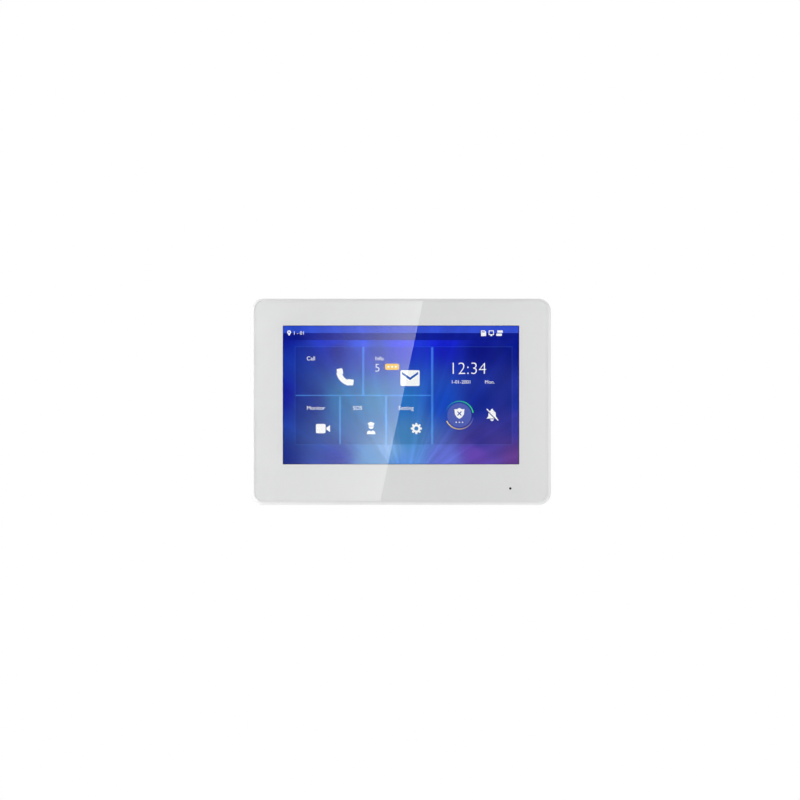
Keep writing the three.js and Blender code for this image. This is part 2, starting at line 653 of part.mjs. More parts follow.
// A microSD card: its notched outline, and the ridge that a fingernail pulls.
function sdCard() {
  const { x1, z, w, length, near, far } = CARD;
  const outline = new THREE.Shape();
  const x0 = x1 - length;
  outline.moveTo(x0, z + w / 2 - 1.3);
  outline.lineTo(x0 + 1, z + w / 2);
  outline.lineTo(x1 - 0.6, z + w / 2);
  outline.lineTo(x1, z + w / 2 - 0.6);
  outline.lineTo(x1, z - w / 2 + 0.6);
  outline.lineTo(x1 - 0.6, z - w / 2);
  outline.lineTo(x0 + 8, z - w / 2);
  outline.lineTo(x0 + 7.4, z - w / 2 + 0.7);
  outline.lineTo(x0 + 6.4, z - w / 2 + 0.7);
  outline.lineTo(x0 + 5.6, z - w / 2 + 1.3);
  outline.lineTo(x0, z - w / 2 + 1.3);
  outline.closePath();
  const ridge = box(x1 - 1.4, x1 - 0.3, near - 0.1, near + 0.2, z - w / 2 + 1.5, z + w / 2 - 1.5);
  const body = slab(outline, near, far);
  return mesh("sd_card", join(body, ridge), FINISHES.blackPlastic);
}

function resetSwitch() {
  const { x, z, r } = RESET;
  const far = BOARD.near - TOUCHING;
  const base = slab(roundedRect(6.2, 6.2, 0.6, x, z), 9.3, far, 2);
  return mesh("reset_switch", cut(base, post(x, z, r + 0.15, 9, 10.9, 20)), FINISHES.blackPlastic);
}

function resetKey() {
  const profile = [
    [0, 0],
    [1.3, 0],
    [RESET.r, 0.4],
    [RESET.r, 4],
    [0, 4],
  ];
  return placed(mesh("reset_key", turned(0, 0, profile, 20), FINISHES.nylon), RESET.x, 6.5, RESET.z);
}

// A ribbon-cable socket: a bar with a slot along its lower or upper edge and a locking flap.
function flexSocket(name, x, z, w, mouthDown) {
  const body = block(0, w / 2 + 2, 0, 2, -2.2, 2.2);
  const slot = block(0, w / 2 + 0.3, 1.35, 1.85, ...(mouthDown ? [-3, 0.8] : [-0.8, 3]));
  const flap = block(0, w / 2 + 1.2, -0.3, 0.05, -1.2, 1.2);
  return onBoard(mesh(name, join(cut(body, slot), flap), FINISHES.nylon), x, z, 2);
}

// A two-way wire socket with its mouth facing down.
function leadSocket(name, x, z) {
  const body = cut(block(0, 3.6, 0, 4.4, -2.4, 2.4), block(0, 2.9, 0.7, 3.7, -3, 1.4));
  const pins = [-1, 1].map((side) => block(side, 0.25, 2, 2.5, -1.8, 1.6));
  return onBoard(mesh(name, join(body, ...pins), FINISHES.nylon), x, z, 4.4);
}

// Twin wire inside the case, from a socket on the board to the part it feeds.
function speakerLead() {
  const route = [
    [-60.5, 11.4, -17],
    [-57, 12, -11],
    [-51, 11.6, -6],
    [-48, 10.8, -1],
    [-48, 10.6, 2],
  ];
  return mesh("speaker_lead", twinWire(route, 14), FINISHES.wire);
}

function micLead() {
  const route = [
    [71.3, 16.9, -56.5],
    [71.4, 16, -56.2],
    [73, 14.8, -53],
    [76, 13.4, -48],
    [84, 12.2, -36],
    [84.5, 11, -22],
    [81.5, 10.5, -12],
    [81, 10.6, -7.6],
  ];
  return mesh("mic_lead", twinWire(route, 20), FINISHES.wire);
}

// ---- Speaker and microphone ---------------------------------------------------------------------

// Distances in the speaker's profiles run from its flange, which faces the wall, towards the room.
function speaker() {
  const group = new THREE.Group();
  placed(group, SPEAKER.x, SPEAKER.flangeNear, SPEAKER.z);

  const basket = turned(0, 0, [
    [13.2, 0],
    [15, 0],
    [15, 0.8],
    [13.9, 0.9],
    [13.9, 1.9],
    [10.9, 4.6],
    [9.6, 4.6],
    [9.6, 3.9],
    [10.4, 3.9],
    [13.2, 1.6],
  ], 24);
  const vents = [];
  for (let i = 0; i < 6; i++) {
    const window = new THREE.BoxGeometry(3.4, 2.2, 6).translate(12.2, -3, 0).rotateY((i * Math.PI) / 3);
    vents.push(solidOf(window));
  }
  group.add(mesh("speaker_basket", cut(basket, ...vents), FINISHES.blackPlastic));

  const magnet = [
    [0, 3.7],
    [5.7, 3.7],
    [5.7, 7.2],
    [7.5, 7.2],
    [7.5, 4.7],
    [10.2, 4.7],
    [10.2, 8.4],
    [9.6, 9],
    [0, 9],
  ];
  group.add(mesh("speaker_magnet", turned(0, 0, magnet, 24), FINISHES.zincSteel));

  const gasket = [
    [13, -0.9],
    [14.8, -0.9],
    [14.8, -TOUCHING],
    [13, -TOUCHING],
  ];
  group.add(mesh("speaker_gasket", turned(0, 0, gasket, 24), FINISHES.foam));
  const cloth = [
    [0, -1.3],
    [14.8, -1.3],
    [14.8, -1],
    [0, -1],
  ];
  group.add(mesh("grille_cloth", turned(0, 0, cloth, 24), FINISHES.foam));

  // Half-roll surround, cone and dust cap in one, which move with the coil.
  const cone = [
    [0, 1.1],
    [3, 1.3],
    [5.6, 2.1],
    [6.4, 2.7],
    [10.4, 0.9],
    [11, 0.4],
    [11.9, 0.2],
    [12.7, 0.6],
    [12.7, 0.9],
    [11.9, 0.5],
    [11.3, 0.7],
    [10.6, 1.3],
    [7.1, 2.85],
    [7, 3],
    [6, 3],
    [5.4, 2.45],
    [3, 1.65],
    [0, 1.45],
  ];
  group.add(mesh("speaker_cone", turned(0, 0, cone, 24), FINISHES.paper));
  const coil = [
    [6.2, 3.1],
    [6.9, 3.1],
    [6.9, 6.4],
    [6.2, 6.4],
  ];
  group.add(mesh("voice_coil", turned(0, 0, coil, 24), FINISHES.copper));
  return group;
}

function micBoot() {
  const profile = [
    [0.8, 20.8],
    [4.15, 20.8],
    [4.15, 17.2],
    [3.1, 17.2],
    [3.1, 20],
    [0.8, 20],
  ];
  return mesh("mic_boot", turned(MIC.x, MIC.z, profile, 20), FINISHES.rubber);
}

function micCapsule() {
  const profile = [
    [0, 17.5],
    [2.6, 17.5],
    [2.9, 17.8],
    [2.9, 19.5],
    [0, 19.5],
  ];
  return mesh("mic_capsule", turned(MIC.x, MIC.z, profile, 20), FINISHES.can);
}

// The black felt disc over the capsule's sound inlet.
function micFelt() {
  return mesh("mic_felt", post(MIC.x, MIC.z, 2.6, 19.6, 19.9), FINISHES.foam);
}

// ---- Rear cover ---------------------------------------------------------------------------------

// The cover's outside, drawn in by a further distance: straight sides, then an elliptical shoulder.
function coverLoft(by, steps) {
  const corner = (extra) => Math.max(BODY.r - COVER.inset - by - extra * 0.25, 1);
  const section = (shoulder, off) => ({ ...inset(COVER.inset + by + shoulder, off), r: corner(shoulder) });
  const sections = [];
  for (let i = 0; i <= steps; i++) {
    const angle = (1 - i / steps) * (Math.PI / 2);
    const off = COVER.straight - (COVER.straight - COVER.near - by) * Math.sin(angle);
    sections.push(section(COVER.shoulder * (1 - Math.cos(angle)), off));
  }
  sections.push(section(0, by ? TONGUE.far + 1 : COVER.far));
  return loft(sections, 6);
}

// Where the connectors' mouths come through the bay's upper wall.
function coverWindows() {
  const windows = [];
  const wall = [BAY.z1 - 0.5, BAY.z1 + BAY.wall + 0.5];
  windows.push(block(JACK.x, JACK.w / 2 + 0.25, JACK.near - 0.25, JACK.far + 0.2, ...wall));
  for (const { x, ways } of [ALARM, POWER]) {
    windows.push(block(x, headerWidth(ways) / 2 + 0.3, HEADER.near - 0.3, BOARD.near + 0.2, ...wall));
  }
  return windows;
}

// Slots: a round patch of them for the speaker and rows along the top and bottom shoulders.
function coverSlots() {
  const slots = [];
  const { reach, pitch, width } = SPEAKER_SLOTS;
  for (let up = -3 * pitch; up <= 3 * pitch; up += pitch) {
    const chord = 2 * Math.sqrt(reach ** 2 - up ** 2);
    const outline = roundedRect(chord, width, width / 2 - 0.05, SPEAKER.x, SPEAKER.z + up);
    slots.push(slab(outline, COVER.near - 1, COVER_INSIDE + 0.6, 3));
  }
  const edge = BODY.h / 2;
  for (let x = -6 * VENTS.pitch; x <= 6 * VENTS.pitch; x += VENTS.pitch) {
    const vent = [x, VENTS.width / 2, VENTS.near, VENTS.far];
    slots.push(block(...vent, edge - 12, edge + 2));
    // The row below leaves room for the cables.
    if (Math.abs(x) > 14) slots.push(block(...vent, -edge - 2, 12 - edge));
  }
  return slots;
}

function rearCover() {
  const shell = cut(coverLoft(0, 6), coverLoft(COVER.wall, 6));
  const lip = cut(
    loft([inset(TONGUE.outer, TONGUE.near), inset(TONGUE.outer, TONGUE.far)]),
    loft([inset(TONGUE.inner, TONGUE.near - 1), inset(TONGUE.inner, TONGUE.far + 1)]),
  );
  const deepest = BAY.far + BAY.floor;
  const inFrame = loft([inset(TONGUE.outer, COVER.straight), inset(TONGUE.outer, deepest)]);
  const envelope = join(coverLoft(0, 6), inFrame);

  const { x, z0, z1, wall, far, floor } = BAY;
  const bayWalls = block(0, x + wall, COVER.near + 0.5, far + floor, z0 - wall, z1 + wall);
  const bay = slab(roundedRect(2 * x, z1 - z0, 1, 0, (z0 + z1) / 2), COVER.near - 1, far);

  const side = BODY.w / 2;
  const skin = NOTCH.wall;
  const notchBlock = box(NOTCH.x - skin, side, 3, NOTCH.far + 1.4, NOTCH.z0 - skin, NOTCH.z1 + skin);
  const notch = box(NOTCH.x, side + 1, 0, NOTCH.far, NOTCH.z0, NOTCH.z1);
  const slotHalf = CARD.w / 2 + 0.6;
  const [slotNear, slotFar] = [CARD.near - 0.35, CARD.far + 0.35];
  const cardSlot = box(NOTCH.x - 3, NOTCH.x + 1, slotNear, slotFar, CARD.z - slotHalf, CARD.z + slotHalf);

  const posts = CASE_SCREWS.map((at) => post(at.x, at.z, 4.2, COVER_INSIDE - 1.2, 10.5));
  const seats = CASE_SCREWS.map((at) => post(at.x, at.z, 3.1, -1, SEAT));
  const clearances = CASE_SCREWS.map((at) => post(at.x, at.z, 1.7, SEAT - 1, 12, 14));
  const speakerRing = turned(SPEAKER.x, SPEAKER.z, [
    [15.4, COVER_INSIDE - 0.4],
    [16.6, COVER_INSIDE - 0.4],
    [16.6, 7],
    [15.4, 7],
  ], 28);
  const hookSlots = HOOKS.map((hook) => {
    const [low, high] = [hook.z - HOOK.sheet - LIFT - 0.6, hook.z + 0.3];
    const outline = roundedRect(HOOK.w + 2, high - low, 0.6, hook.x, (low + high) / 2);
    return slab(outline, 0, COVER_INSIDE + 0.6, 2);
  });
  const pinhole = post(RESET.x, RESET.z, 1.1, 0, COVER_INSIDE + 0.6, 14);

  const added = join(shell, lip, ...posts, speakerRing, bayWalls, notchBlock).intersect(envelope);
  const removed = [bay, notch, cardSlot, pinhole, ...seats, ...clearances, ...hookSlots];
  const cover = cut(added, ...removed, ...coverWindows(), ...coverSlots());
  return mesh("rear_cover", cover, FINISHES.matteWhite);
}

// ---- Screws -------------------------------------------------------------------------------------

// A pan-head screw driven towards the room. Its local origin is under its head, which is on the wall side.
function screwSolid(headRadius, headHeight, shankRadius, length) {
  const profile = [
    [0, -headHeight],
    [headRadius * 0.7, -headHeight],
    [headRadius, -headHeight * 0.4],
    [headRadius, 0],
    [shankRadius, 0],
    [shankRadius, length - shankRadius],
    [shankRadius * 0.3, length],
    [0, length],
  ];
  const [arm, half, depth] = [headRadius * 0.52, headRadius * 0.13, headHeight * 0.6];
  const across = box(-arm, arm, -headHeight - 1, -headHeight + depth, -half, half);
  const upright = box(-half, half, -headHeight - 1, -headHeight + depth, -arm, arm);
  return cut(turned(0, 0, profile, 10), across, upright);
}

function screws(prefix, places, seat, size) {
  return places.map(({ x, z }, i) =>
    placed(mesh(`${prefix}_${i + 1}`, screwSolid(...size), FINISHES.screwSteel), x, seat, z),
  );
}

// ---- Assembly -----------------------------------------------------------------------------------

const monitor = new THREE.Group();
monitor.add(
  coverGlass(),
  glassTape(),
  touchSensor(),
  touchFlex(),
  lcdCell(),
  lightGuide(),
  ledStrip(),
  backlightTray(),
  lcdFlex(),
  frontFrame(),
  chassisPlate(),
  mainBoard(),
  processorShield(),
  poeTransformer(),
  powerInductor(),
  capacitor(0),
  capacitor(1),
  coinCell(),
  coinCellHolder(),
  networkJackShell(),
  networkJackInsert(),
  networkJackContacts(),
  terminalHeader("alarm_header", ALARM),
  terminalHeader("power_header", POWER),
  terminalPlug("alarm_plug", ALARM),
  terminalPlug("power_plug", POWER),
  sdSocket(),
  sdCard(),
  resetSwitch(),
  resetKey(),
  flexSocket("lcd_flex_socket", LCD_FLEX.x, -3.2, LCD_FLEX.w, true),
  flexSocket("touch_flex_socket", TOUCH_FLEX.x, 45.4, TOUCH_FLEX.w, false),
  leadSocket("speaker_socket", -48, 4),
  leadSocket("mic_socket", 81, -5),
  speaker(),
  micBoot(),
  micCapsule(),
  micFelt(),
  rearCover(),
  ...screws("case_screw", CASE_SCREWS, SEAT - TOUCHING, [2.8, 1.9, 1.45, 10]),
  ...screws("chassis_screw", CHASSIS_SCREWS, CHASSIS.near - TOUCHING, [2.3, 1.4, 1.2, 4.2]),
  ...screws("board_screw", BOARD_SCREWS, BOARD.near - TOUCHING, [2.3, 1.4, 1.2, 4.6]),
  speakerLead(),
  micLead(),
);

const object = new THREE.Group();
object.add(wallBracket(), monitor);

export default object;
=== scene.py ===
"""A wall-hung video intercom monitor: the looks around its CAD frame.

All places come from the frame, in metres: +X is the viewer's right, +Y runs into the wall, +Z is up.
The CAD pieces keep their shapes and get edges and materials here. The printed border behind the glass
and the picture on the lit screen are made here.
"""

import json
import math

import bmesh
import bpy
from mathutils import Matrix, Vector
from mathutils.geometry import tessellate_polygon


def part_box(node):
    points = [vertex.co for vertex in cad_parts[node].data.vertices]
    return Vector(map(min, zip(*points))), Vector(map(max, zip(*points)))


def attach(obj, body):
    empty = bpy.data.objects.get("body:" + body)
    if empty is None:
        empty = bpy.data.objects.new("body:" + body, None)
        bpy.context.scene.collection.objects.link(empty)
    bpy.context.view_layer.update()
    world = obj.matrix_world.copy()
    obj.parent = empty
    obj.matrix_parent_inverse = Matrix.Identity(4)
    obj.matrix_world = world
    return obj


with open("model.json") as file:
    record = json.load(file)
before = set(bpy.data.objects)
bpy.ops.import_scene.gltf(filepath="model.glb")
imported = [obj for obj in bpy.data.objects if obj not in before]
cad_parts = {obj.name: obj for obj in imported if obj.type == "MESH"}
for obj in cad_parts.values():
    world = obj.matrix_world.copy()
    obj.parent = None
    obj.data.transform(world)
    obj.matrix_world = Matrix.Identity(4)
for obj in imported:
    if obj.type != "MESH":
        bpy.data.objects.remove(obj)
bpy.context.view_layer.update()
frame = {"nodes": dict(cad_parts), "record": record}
NODES = frame["nodes"]

MM = 0.001

# ---- Driving sizes --------------------------------------------------------------------------------

PICTURE_W, PICTURE_H = 153.6 * MM, 90 * MM  # a 7-inch panel's lit area
CELL_LOW, CELL_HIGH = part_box("lcd_cell")
PICTURE_LEFT = (CELL_LOW.x + CELL_HIGH.x) / 2 - PICTURE_W / 2
PICTURE_TOP = (CELL_LOW.z + CELL_HIGH.z) / 2 + PICTURE_H / 2
PICTURE_Y = CELL_LOW.y - 0.06 * MM  # just in front of the cell
LAYER = 0.02 * MM  # step between layers of the picture

GLASS_LOW, GLASS_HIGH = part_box("cover_glass")
BORDER_EDGE = 0.04 * MM  # how far the print stops short of the glass's edge
BORDER_RADIUS = 5.55 * MM
BORDER_MARGIN = 0.3 * MM  # dark margin between the lit area and the print
WINDOW_RADIUS = 0.3 * MM  # corners of the print's window
PRINT_FRONT, PRINT_BACK = 0.02 * MM, 0.07 * MM  # the print's two faces, behind the glass
SOUND_HOLE = (71.3 * MM, -56.5 * MM, 0.7 * MM)  # x, z and radius
HOLE_MARGIN = 0.1 * MM  # the print stops this far outside the sound hole

LENS = 100.0  # mm, on the camera's 36 mm sensor
CAMERA_DISTANCE = 1.452  # from the case's widest section
WIDEST_DEPTH = 3.6 * MM  # from the case's front to its widest section
CAMERA_AIM = (-0.65 * MM, 1.2 * MM)  # x and z


# ---- Small helpers --------------------------------------------------------------------------------


def linear(rgb):
    """The scene-linear colour of an 8-bit sRGB colour."""
    return [((c / 255 + 0.055) / 1.055) ** 2.4 if c > 10 else c / 255 / 12.92 for c in rgb]


def mixed(a, b, share):
    return [x + (y - x) * share for x, y in zip(a, b)]


def mesh_object(name, bm):
    mesh = bpy.data.meshes.new(name)
    bm.to_mesh(mesh)
    bm.free()
    made = bpy.data.objects.new(name, mesh)
    bpy.context.scene.collection.objects.link(made)
    return made


def rounded_outline(w, h, r, x=0.0, z=0.0, steps=10):
    """Points of a rounded rectangle, anticlockwise in X and Z."""
    points = []
    for corner, (sx, sz) in enumerate([(1, 1), (-1, 1), (-1, -1), (1, -1)]):
        for step in range(steps + 1):
            angle = (corner + step / steps) * math.pi / 2
            px = x + sx * (w / 2 - r) + r * math.cos(angle)
            points.append((px, z + sz * (h / 2 - r) + r * math.sin(angle)))
    return points


def round_outline(x, z, r, steps=24):
    """Points of a circle."""
    turns = [i * math.tau / steps for i in range(steps)]
    return [(x + r * math.cos(turn), z + r * math.sin(turn)) for turn in turns]


# ---- Materials ------------------------------------------------------------------------------------


class Shader:
    """A material being wired: short names for the nodes that most finishes share."""

    def __init__(self, name):
        self.material = bpy.data.materials.new(name)
        self.material.use_nodes = True
        self.tree = self.material.node_tree
        self.surface = self.tree.nodes["Principled BSDF"]
        self.place = self.node("ShaderNodeTexCoord").outputs["Object"]

    def node(self, kind, **settings):
        made = self.tree.nodes.new(kind)
        for key, value in settings.items():
            setattr(made, key, value)
        return made

    def wire(self, source, target):
        self.tree.links.new(source, target)

    def set(self, **values):
        for name, value in values.items():
            self.surface.inputs[name.replace("_", " ")].default_value = value

    def noise(self, scale, detail=3.0, place=None):
        made = self.node("ShaderNodeTexNoise")
        made.inputs["Scale"].default_value = scale
        made.inputs["Detail"].default_value = detail
        self.wire(place or self.place, made.inputs["Vector"])
        return made.outputs["Fac"]

    def stretched(self, along):
        """Object coordinates squeezed along the given axes, for brushed or rolled grain."""
        made = self.node("ShaderNodeMapping")
        made.inputs["Scale"].default_value = along
        self.wire(self.place, made.inputs["Vector"])
        return made.outputs["Vector"]

    def span(self, value, low, high, start=0.3, end=0.7):
        made = self.node("ShaderNodeMapRange")
        for name, number in zip(("From Min", "From Max", "To Min", "To Max"), (start, end, low, high)):
            made.inputs[name].default_value = number
        self.wire(value, made.inputs["Value"])
        return made.outputs["Result"]

    def colours(self, value, first, second):
        made = self.node("ShaderNodeMix", data_type="RGBA")
        made.inputs["A"].default_value = (*first, 1)
        made.inputs["B"].default_value = (*second, 1)
        self.wire(value, made.inputs["Factor"])
        return made.outputs["Result"]

    def bump(self, height, strength, distance):
        made = self.node("ShaderNodeBump")
        made.inputs["Strength"].default_value = strength
        made.inputs["Distance"].default_value = distance
        self.wire(height, made.inputs["Height"])
        self.wire(made.outputs["Normal"], self.surface.inputs["Normal"])


def moulded(name, colour, roughness, grain=900.0, depth=0.01):
    """Moulded plastic: fine surface grain, faint flow tone and slightly uneven gloss."""
    shader = Shader(name)
    flow = shader.span(shader.noise(38.0, 2.0), 0.0, 1.0)
    tone = shader.colours(flow, [c * 0.975 for c in colour], colour)
    shader.wire(tone, shader.surface.inputs["Base Color"])
    gloss = shader.span(shader.noise(160.0), roughness * 0.88, roughness * 1.12)
    shader.wire(gloss, shader.surface.inputs["Roughness"])
    shader.bump(shader.noise(grain, 4.0), 0.25, depth * MM)
    return shader.material


def metal(name, colour, roughness, grain=(1.0, 1.0, 12.0), tone=0.93):
    """Plated or rolled metal: a faint crystalline cloud, fine grain and slightly uneven gloss."""
    shader = Shader(name)
    shader.set(Metallic=1.0)
    spangle = shader.node("ShaderNodeTexVoronoi")
    spangle.inputs["Scale"].default_value = 260.0
    shader.wire(shader.place, spangle.inputs["Vector"])
    shade = shader.colours(spangle.outputs["Distance"], [c * tone for c in colour], colour)
    shader.wire(shade, shader.surface.inputs["Base Color"])
    streak = shader.noise(140.0, 6.0, shader.stretched(grain))
    shader.wire(shader.span(streak, roughness * 0.88, roughness * 1.15), shader.surface.inputs["Roughness"])
    shader.bump(streak, 0.1, 0.005 * MM)
    return shader.material


def clear(name, tint, roughness, unevenness=0.002):
    """Clear glass or acrylic: refracting, with a very slight unevenness in its polish."""
    shader = Shader(name)
    shader.set(Transmission_Weight=1.0, IOR=1.5)
    cloud = shader.span(shader.noise(25.0, 2.0), 0.0, 1.0)
    shader.wire(shader.colours(cloud, [c * 0.995 for c in tint], tint), shader.surface.inputs["Base Color"])
    polish = shader.span(shader.noise(40.0, 3.0), roughness, roughness + unevenness)
    shader.wire(polish, shader.surface.inputs["Roughness"])
    return shader.material


def printed_ink():
    """The white border printed behind the glass: dense, matt, with a very fine screen-print mottle."""
    shader = Shader("white_ink")
    mottle = shader.span(shader.noise(1500.0, 2.0), 0.0, 1.0)
    tone = shader.colours(mottle, [0.835, 0.835, 0.835], [0.86, 0.86, 0.86])
    shader.wire(tone, shader.surface.inputs["Base Color"])
    shader.set(Roughness=0.6)
    shader.bump(mottle, 0.05, 0.002 * MM)
    return shader.material


def keep_out_of_lighting(material):
    """The surface still glows, but its glow isn't sampled as a lamp, so the lamps' own light stays even."""
    material.cycles.emission_sampling = "NONE"


# The screen's surface where it is dark: black, with no shine of its own.
UNLIT = {"Base_Color": (0.004, 0.004, 0.006, 1), "Roughness": 0.5, "Specular_IOR_Level": 0.0}


def lit_picture():
    """The lit pixels: each point's own colour, with soft rays that spread up from low on the screen."""
    shader = Shader("lit_picture")
    colour = shader.node("ShaderNodeAttribute", attribute_name="pixel_colour").outputs["Color"]
    apart = shader.node("ShaderNodeSeparateXYZ")
    shader.wire(shader.place, apart.inputs["Vector"])
    rays_from = (PICTURE_LEFT + 0.52 * PICTURE_W, PICTURE_TOP - 1.2 * PICTURE_H)
    across = shader.node("ShaderNodeMath", operation="SUBTRACT")
    upward = shader.node("ShaderNodeMath", operation="SUBTRACT")
    for step, axis, start in ((across, "X", rays_from[0]), (upward, "Z", rays_from[1])):
        shader.wire(apart.outputs[axis], step.inputs[0])
        step.inputs[1].default_value = start
    angle = shader.node("ShaderNodeMath", operation="ARCTAN2")
    shader.wire(across.outputs[0], angle.inputs[0])
    shader.wire(upward.outputs[0], angle.inputs[1])
    fan = shader.node("ShaderNodeCombineXYZ")
    shader.wire(angle.outputs[0], fan.inputs["X"])
    rays = shader.span(shader.noise(9.0, 3.0, fan.outputs["Vector"]), 0.82, 1.18)
    glow = shader.node("ShaderNodeVectorMath", operation="SCALE")
    shader.wire(colour, glow.inputs[0])
    shader.wire(rays, glow.inputs["Scale"])
    shader.wire(glow.outputs["Vector"], shader.surface.inputs["Emission Color"])
    shader.set(Emission_Strength=1.25, **UNLIT)
    keep_out_of_lighting(shader.material)
    return shader.material


def lit_icons():
    """Icons and figures on the lit screen, plain and evenly bright."""
    shader = Shader("lit_icons")
    colour = shader.node("ShaderNodeAttribute", attribute_name="pixel_colour").outputs["Color"]
    shader.wire(colour, shader.surface.inputs["Emission Color"])
    shader.set(Emission_Strength=1.0, **UNLIT)
    keep_out_of_lighting(shader.material)
    return shader.material


def circuit_board():
    """Green solder mask with faint raised tracks and a scatter of bare pads."""
    shader = Shader("circuit_board")
    tracks = shader.node("ShaderNodeTexBrick", offset=0.37, squash=0.6)
    sizes = {"Scale": 220.0, "Mortar Size": 0.035, "Brick Width": 1.7, "Row Height": 0.4}
    for name, value in sizes.items():
        tracks.inputs[name].default_value = value
    turned = shader.node("ShaderNodeMapping")
    turned.inputs["Rotation"].default_value = (math.pi / 2, 0, 0)
    shader.wire(shader.place, turned.inputs["Vector"])
    shader.wire(turned.outputs["Vector"], tracks.inputs["Vector"])
    mask = shader.colours(tracks.outputs["Fac"], [0.012, 0.10, 0.045], [0.02, 0.17, 0.07])
    pads = shader.node("ShaderNodeTexVoronoi")
    pads.inputs["Scale"].default_value = 330.0
    shader.wire(shader.place, pads.inputs["Vector"])
    bare = shader.span(pads.outputs["Distance"], 1.0, 0.0, 0.10, 0.14)
    finish = shader.node("ShaderNodeMix", data_type="RGBA")
    finish.inputs["B"].default_value = (0.75, 0.68, 0.45, 1)
    shader.wire(bare, finish.inputs["Factor"])
    shader.wire(mask, finish.inputs["A"])
    shader.wire(finish.outputs["Result"], shader.surface.inputs["Base Color"])
    shader.wire(shader.span(shader.noise(120.0), 0.25, 0.4), shader.surface.inputs["Roughness"])
    shader.bump(tracks.outputs["Fac"], 0.3, 0.02 * MM)
    return shader.material


def woven(name, colour, scale=1400.0):
    """Open cloth or foam: a fine cell pattern and a rough surface."""
    shader = Shader(name)
    cells = shader.node("ShaderNodeTexVoronoi")
    cells.inputs["Scale"].default_value = scale
    shader.wire(shader.place, cells.inputs["Vector"])
    shade = shader.colours(cells.outputs["Distance"], [c * 0.55 for c in colour], [c * 1.3 for c in colour])
    shader.wire(shade, shader.surface.inputs["Base Color"])
    shader.set(Roughness=0.9)
    shader.bump(cells.outputs["Distance"], 0.6, 0.1 * MM)
    return shader.material


def ribbon_film():
    """Amber film with copper lines along it, seen through it."""
    shader = Shader("ribbon_film")
    lines = shader.node("ShaderNodeTexWave", bands_direction="X")
    lines.inputs["Scale"].default_value = 260.0
    shader.wire(shader.place, lines.inputs["Vector"])
    shade = shader.colours(lines.outputs["Fac"], [0.50, 0.20, 0.03], [0.70, 0.36, 0.08])
    shader.wire(shade, shader.surface.inputs["Base Color"])
    shader.wire(shader.span(shader.noise(300.0), 0.25, 0.38), shader.surface.inputs["Roughness"])
    shader.bump(lines.outputs["Fac"], 0.3, 0.02 * MM)
    return shader.material


def winding():
    """Enamelled copper wire, wound in fine turns."""
    shader = Shader("winding")
    turns = shader.node("ShaderNodeTexWave", bands_direction="Y")
    turns.inputs["Scale"].default_value = 1600.0
    shader.wire(shader.place, turns.inputs["Vector"])
    shade = shader.colours(turns.outputs["Fac"], [0.32, 0.10, 0.03], [0.85, 0.40, 0.18])
    shader.wire(shade, shader.surface.inputs["Base Color"])
    shader.set(Metallic=1.0, Roughness=0.32)
    shader.bump(turns.outputs["Fac"], 0.5, 0.05 * MM)
    return shader.material


def slot_materials():
    """One material for each finish that the record names."""
    return {
        "gloss_white": moulded("gloss_white", [0.86, 0.86, 0.86], 0.2, 500.0, 0.004),
        "matte_white": moulded("matte_white", [0.82, 0.82, 0.81], 0.5, 1100.0, 0.03),
        "cover_glass": clear("cover_glass", [0.985, 0.99, 0.988], 0.0),
        "touch_glass": clear("touch_glass", [0.99, 0.995, 0.99], 0.0),
        "display": moulded("display", [0.008, 0.009, 0.012], 0.25, 300.0, 0.002),
        "acrylic": clear("acrylic", [0.97, 0.98, 1.0], 0.08),
        "tape": woven("tape", [0.02, 0.02, 0.02], 900.0),
        "zinc_steel": metal("zinc_steel", [0.66, 0.68, 0.70], 0.42),
        "screw_steel": metal("screw_steel", [0.50, 0.50, 0.52], 0.28, (1.0, 30.0, 1.0)),
        "board": circuit_board(),
        "black_plastic": moulded("black_plastic", [0.014, 0.014, 0.016], 0.45),
        "green_plastic": moulded("green_plastic", [0.014, 0.25, 0.075], 0.42),
        "nylon": moulded("nylon", [0.80, 0.76, 0.64], 0.48),
        "rubber": moulded("rubber", [0.010, 0.010, 0.011], 0.75, 700.0, 0.03),
        "foam": woven("foam", [0.022, 0.022, 0.024]),
        "flex": ribbon_film(),
        "wire": moulded("wire", [0.42, 0.015, 0.02], 0.45),
        "can": metal("can", [0.72, 0.73, 0.75], 0.25, (1.0, 30.0, 1.0)),
        "ferrite": moulded("ferrite", [0.03, 0.03, 0.034], 0.65, 600.0, 0.05),
        "paper": woven("paper", [0.018, 0.018, 0.02], 700.0),
        "copper": winding(),
        "gold": metal("gold", [0.85, 0.62, 0.22], 0.22, (30.0, 1.0, 1.0)),
    }


# ---- Edges and shading of the CAD pieces ----------------------------------------------------------

SMOOTH_LIMIT = math.radians(32)


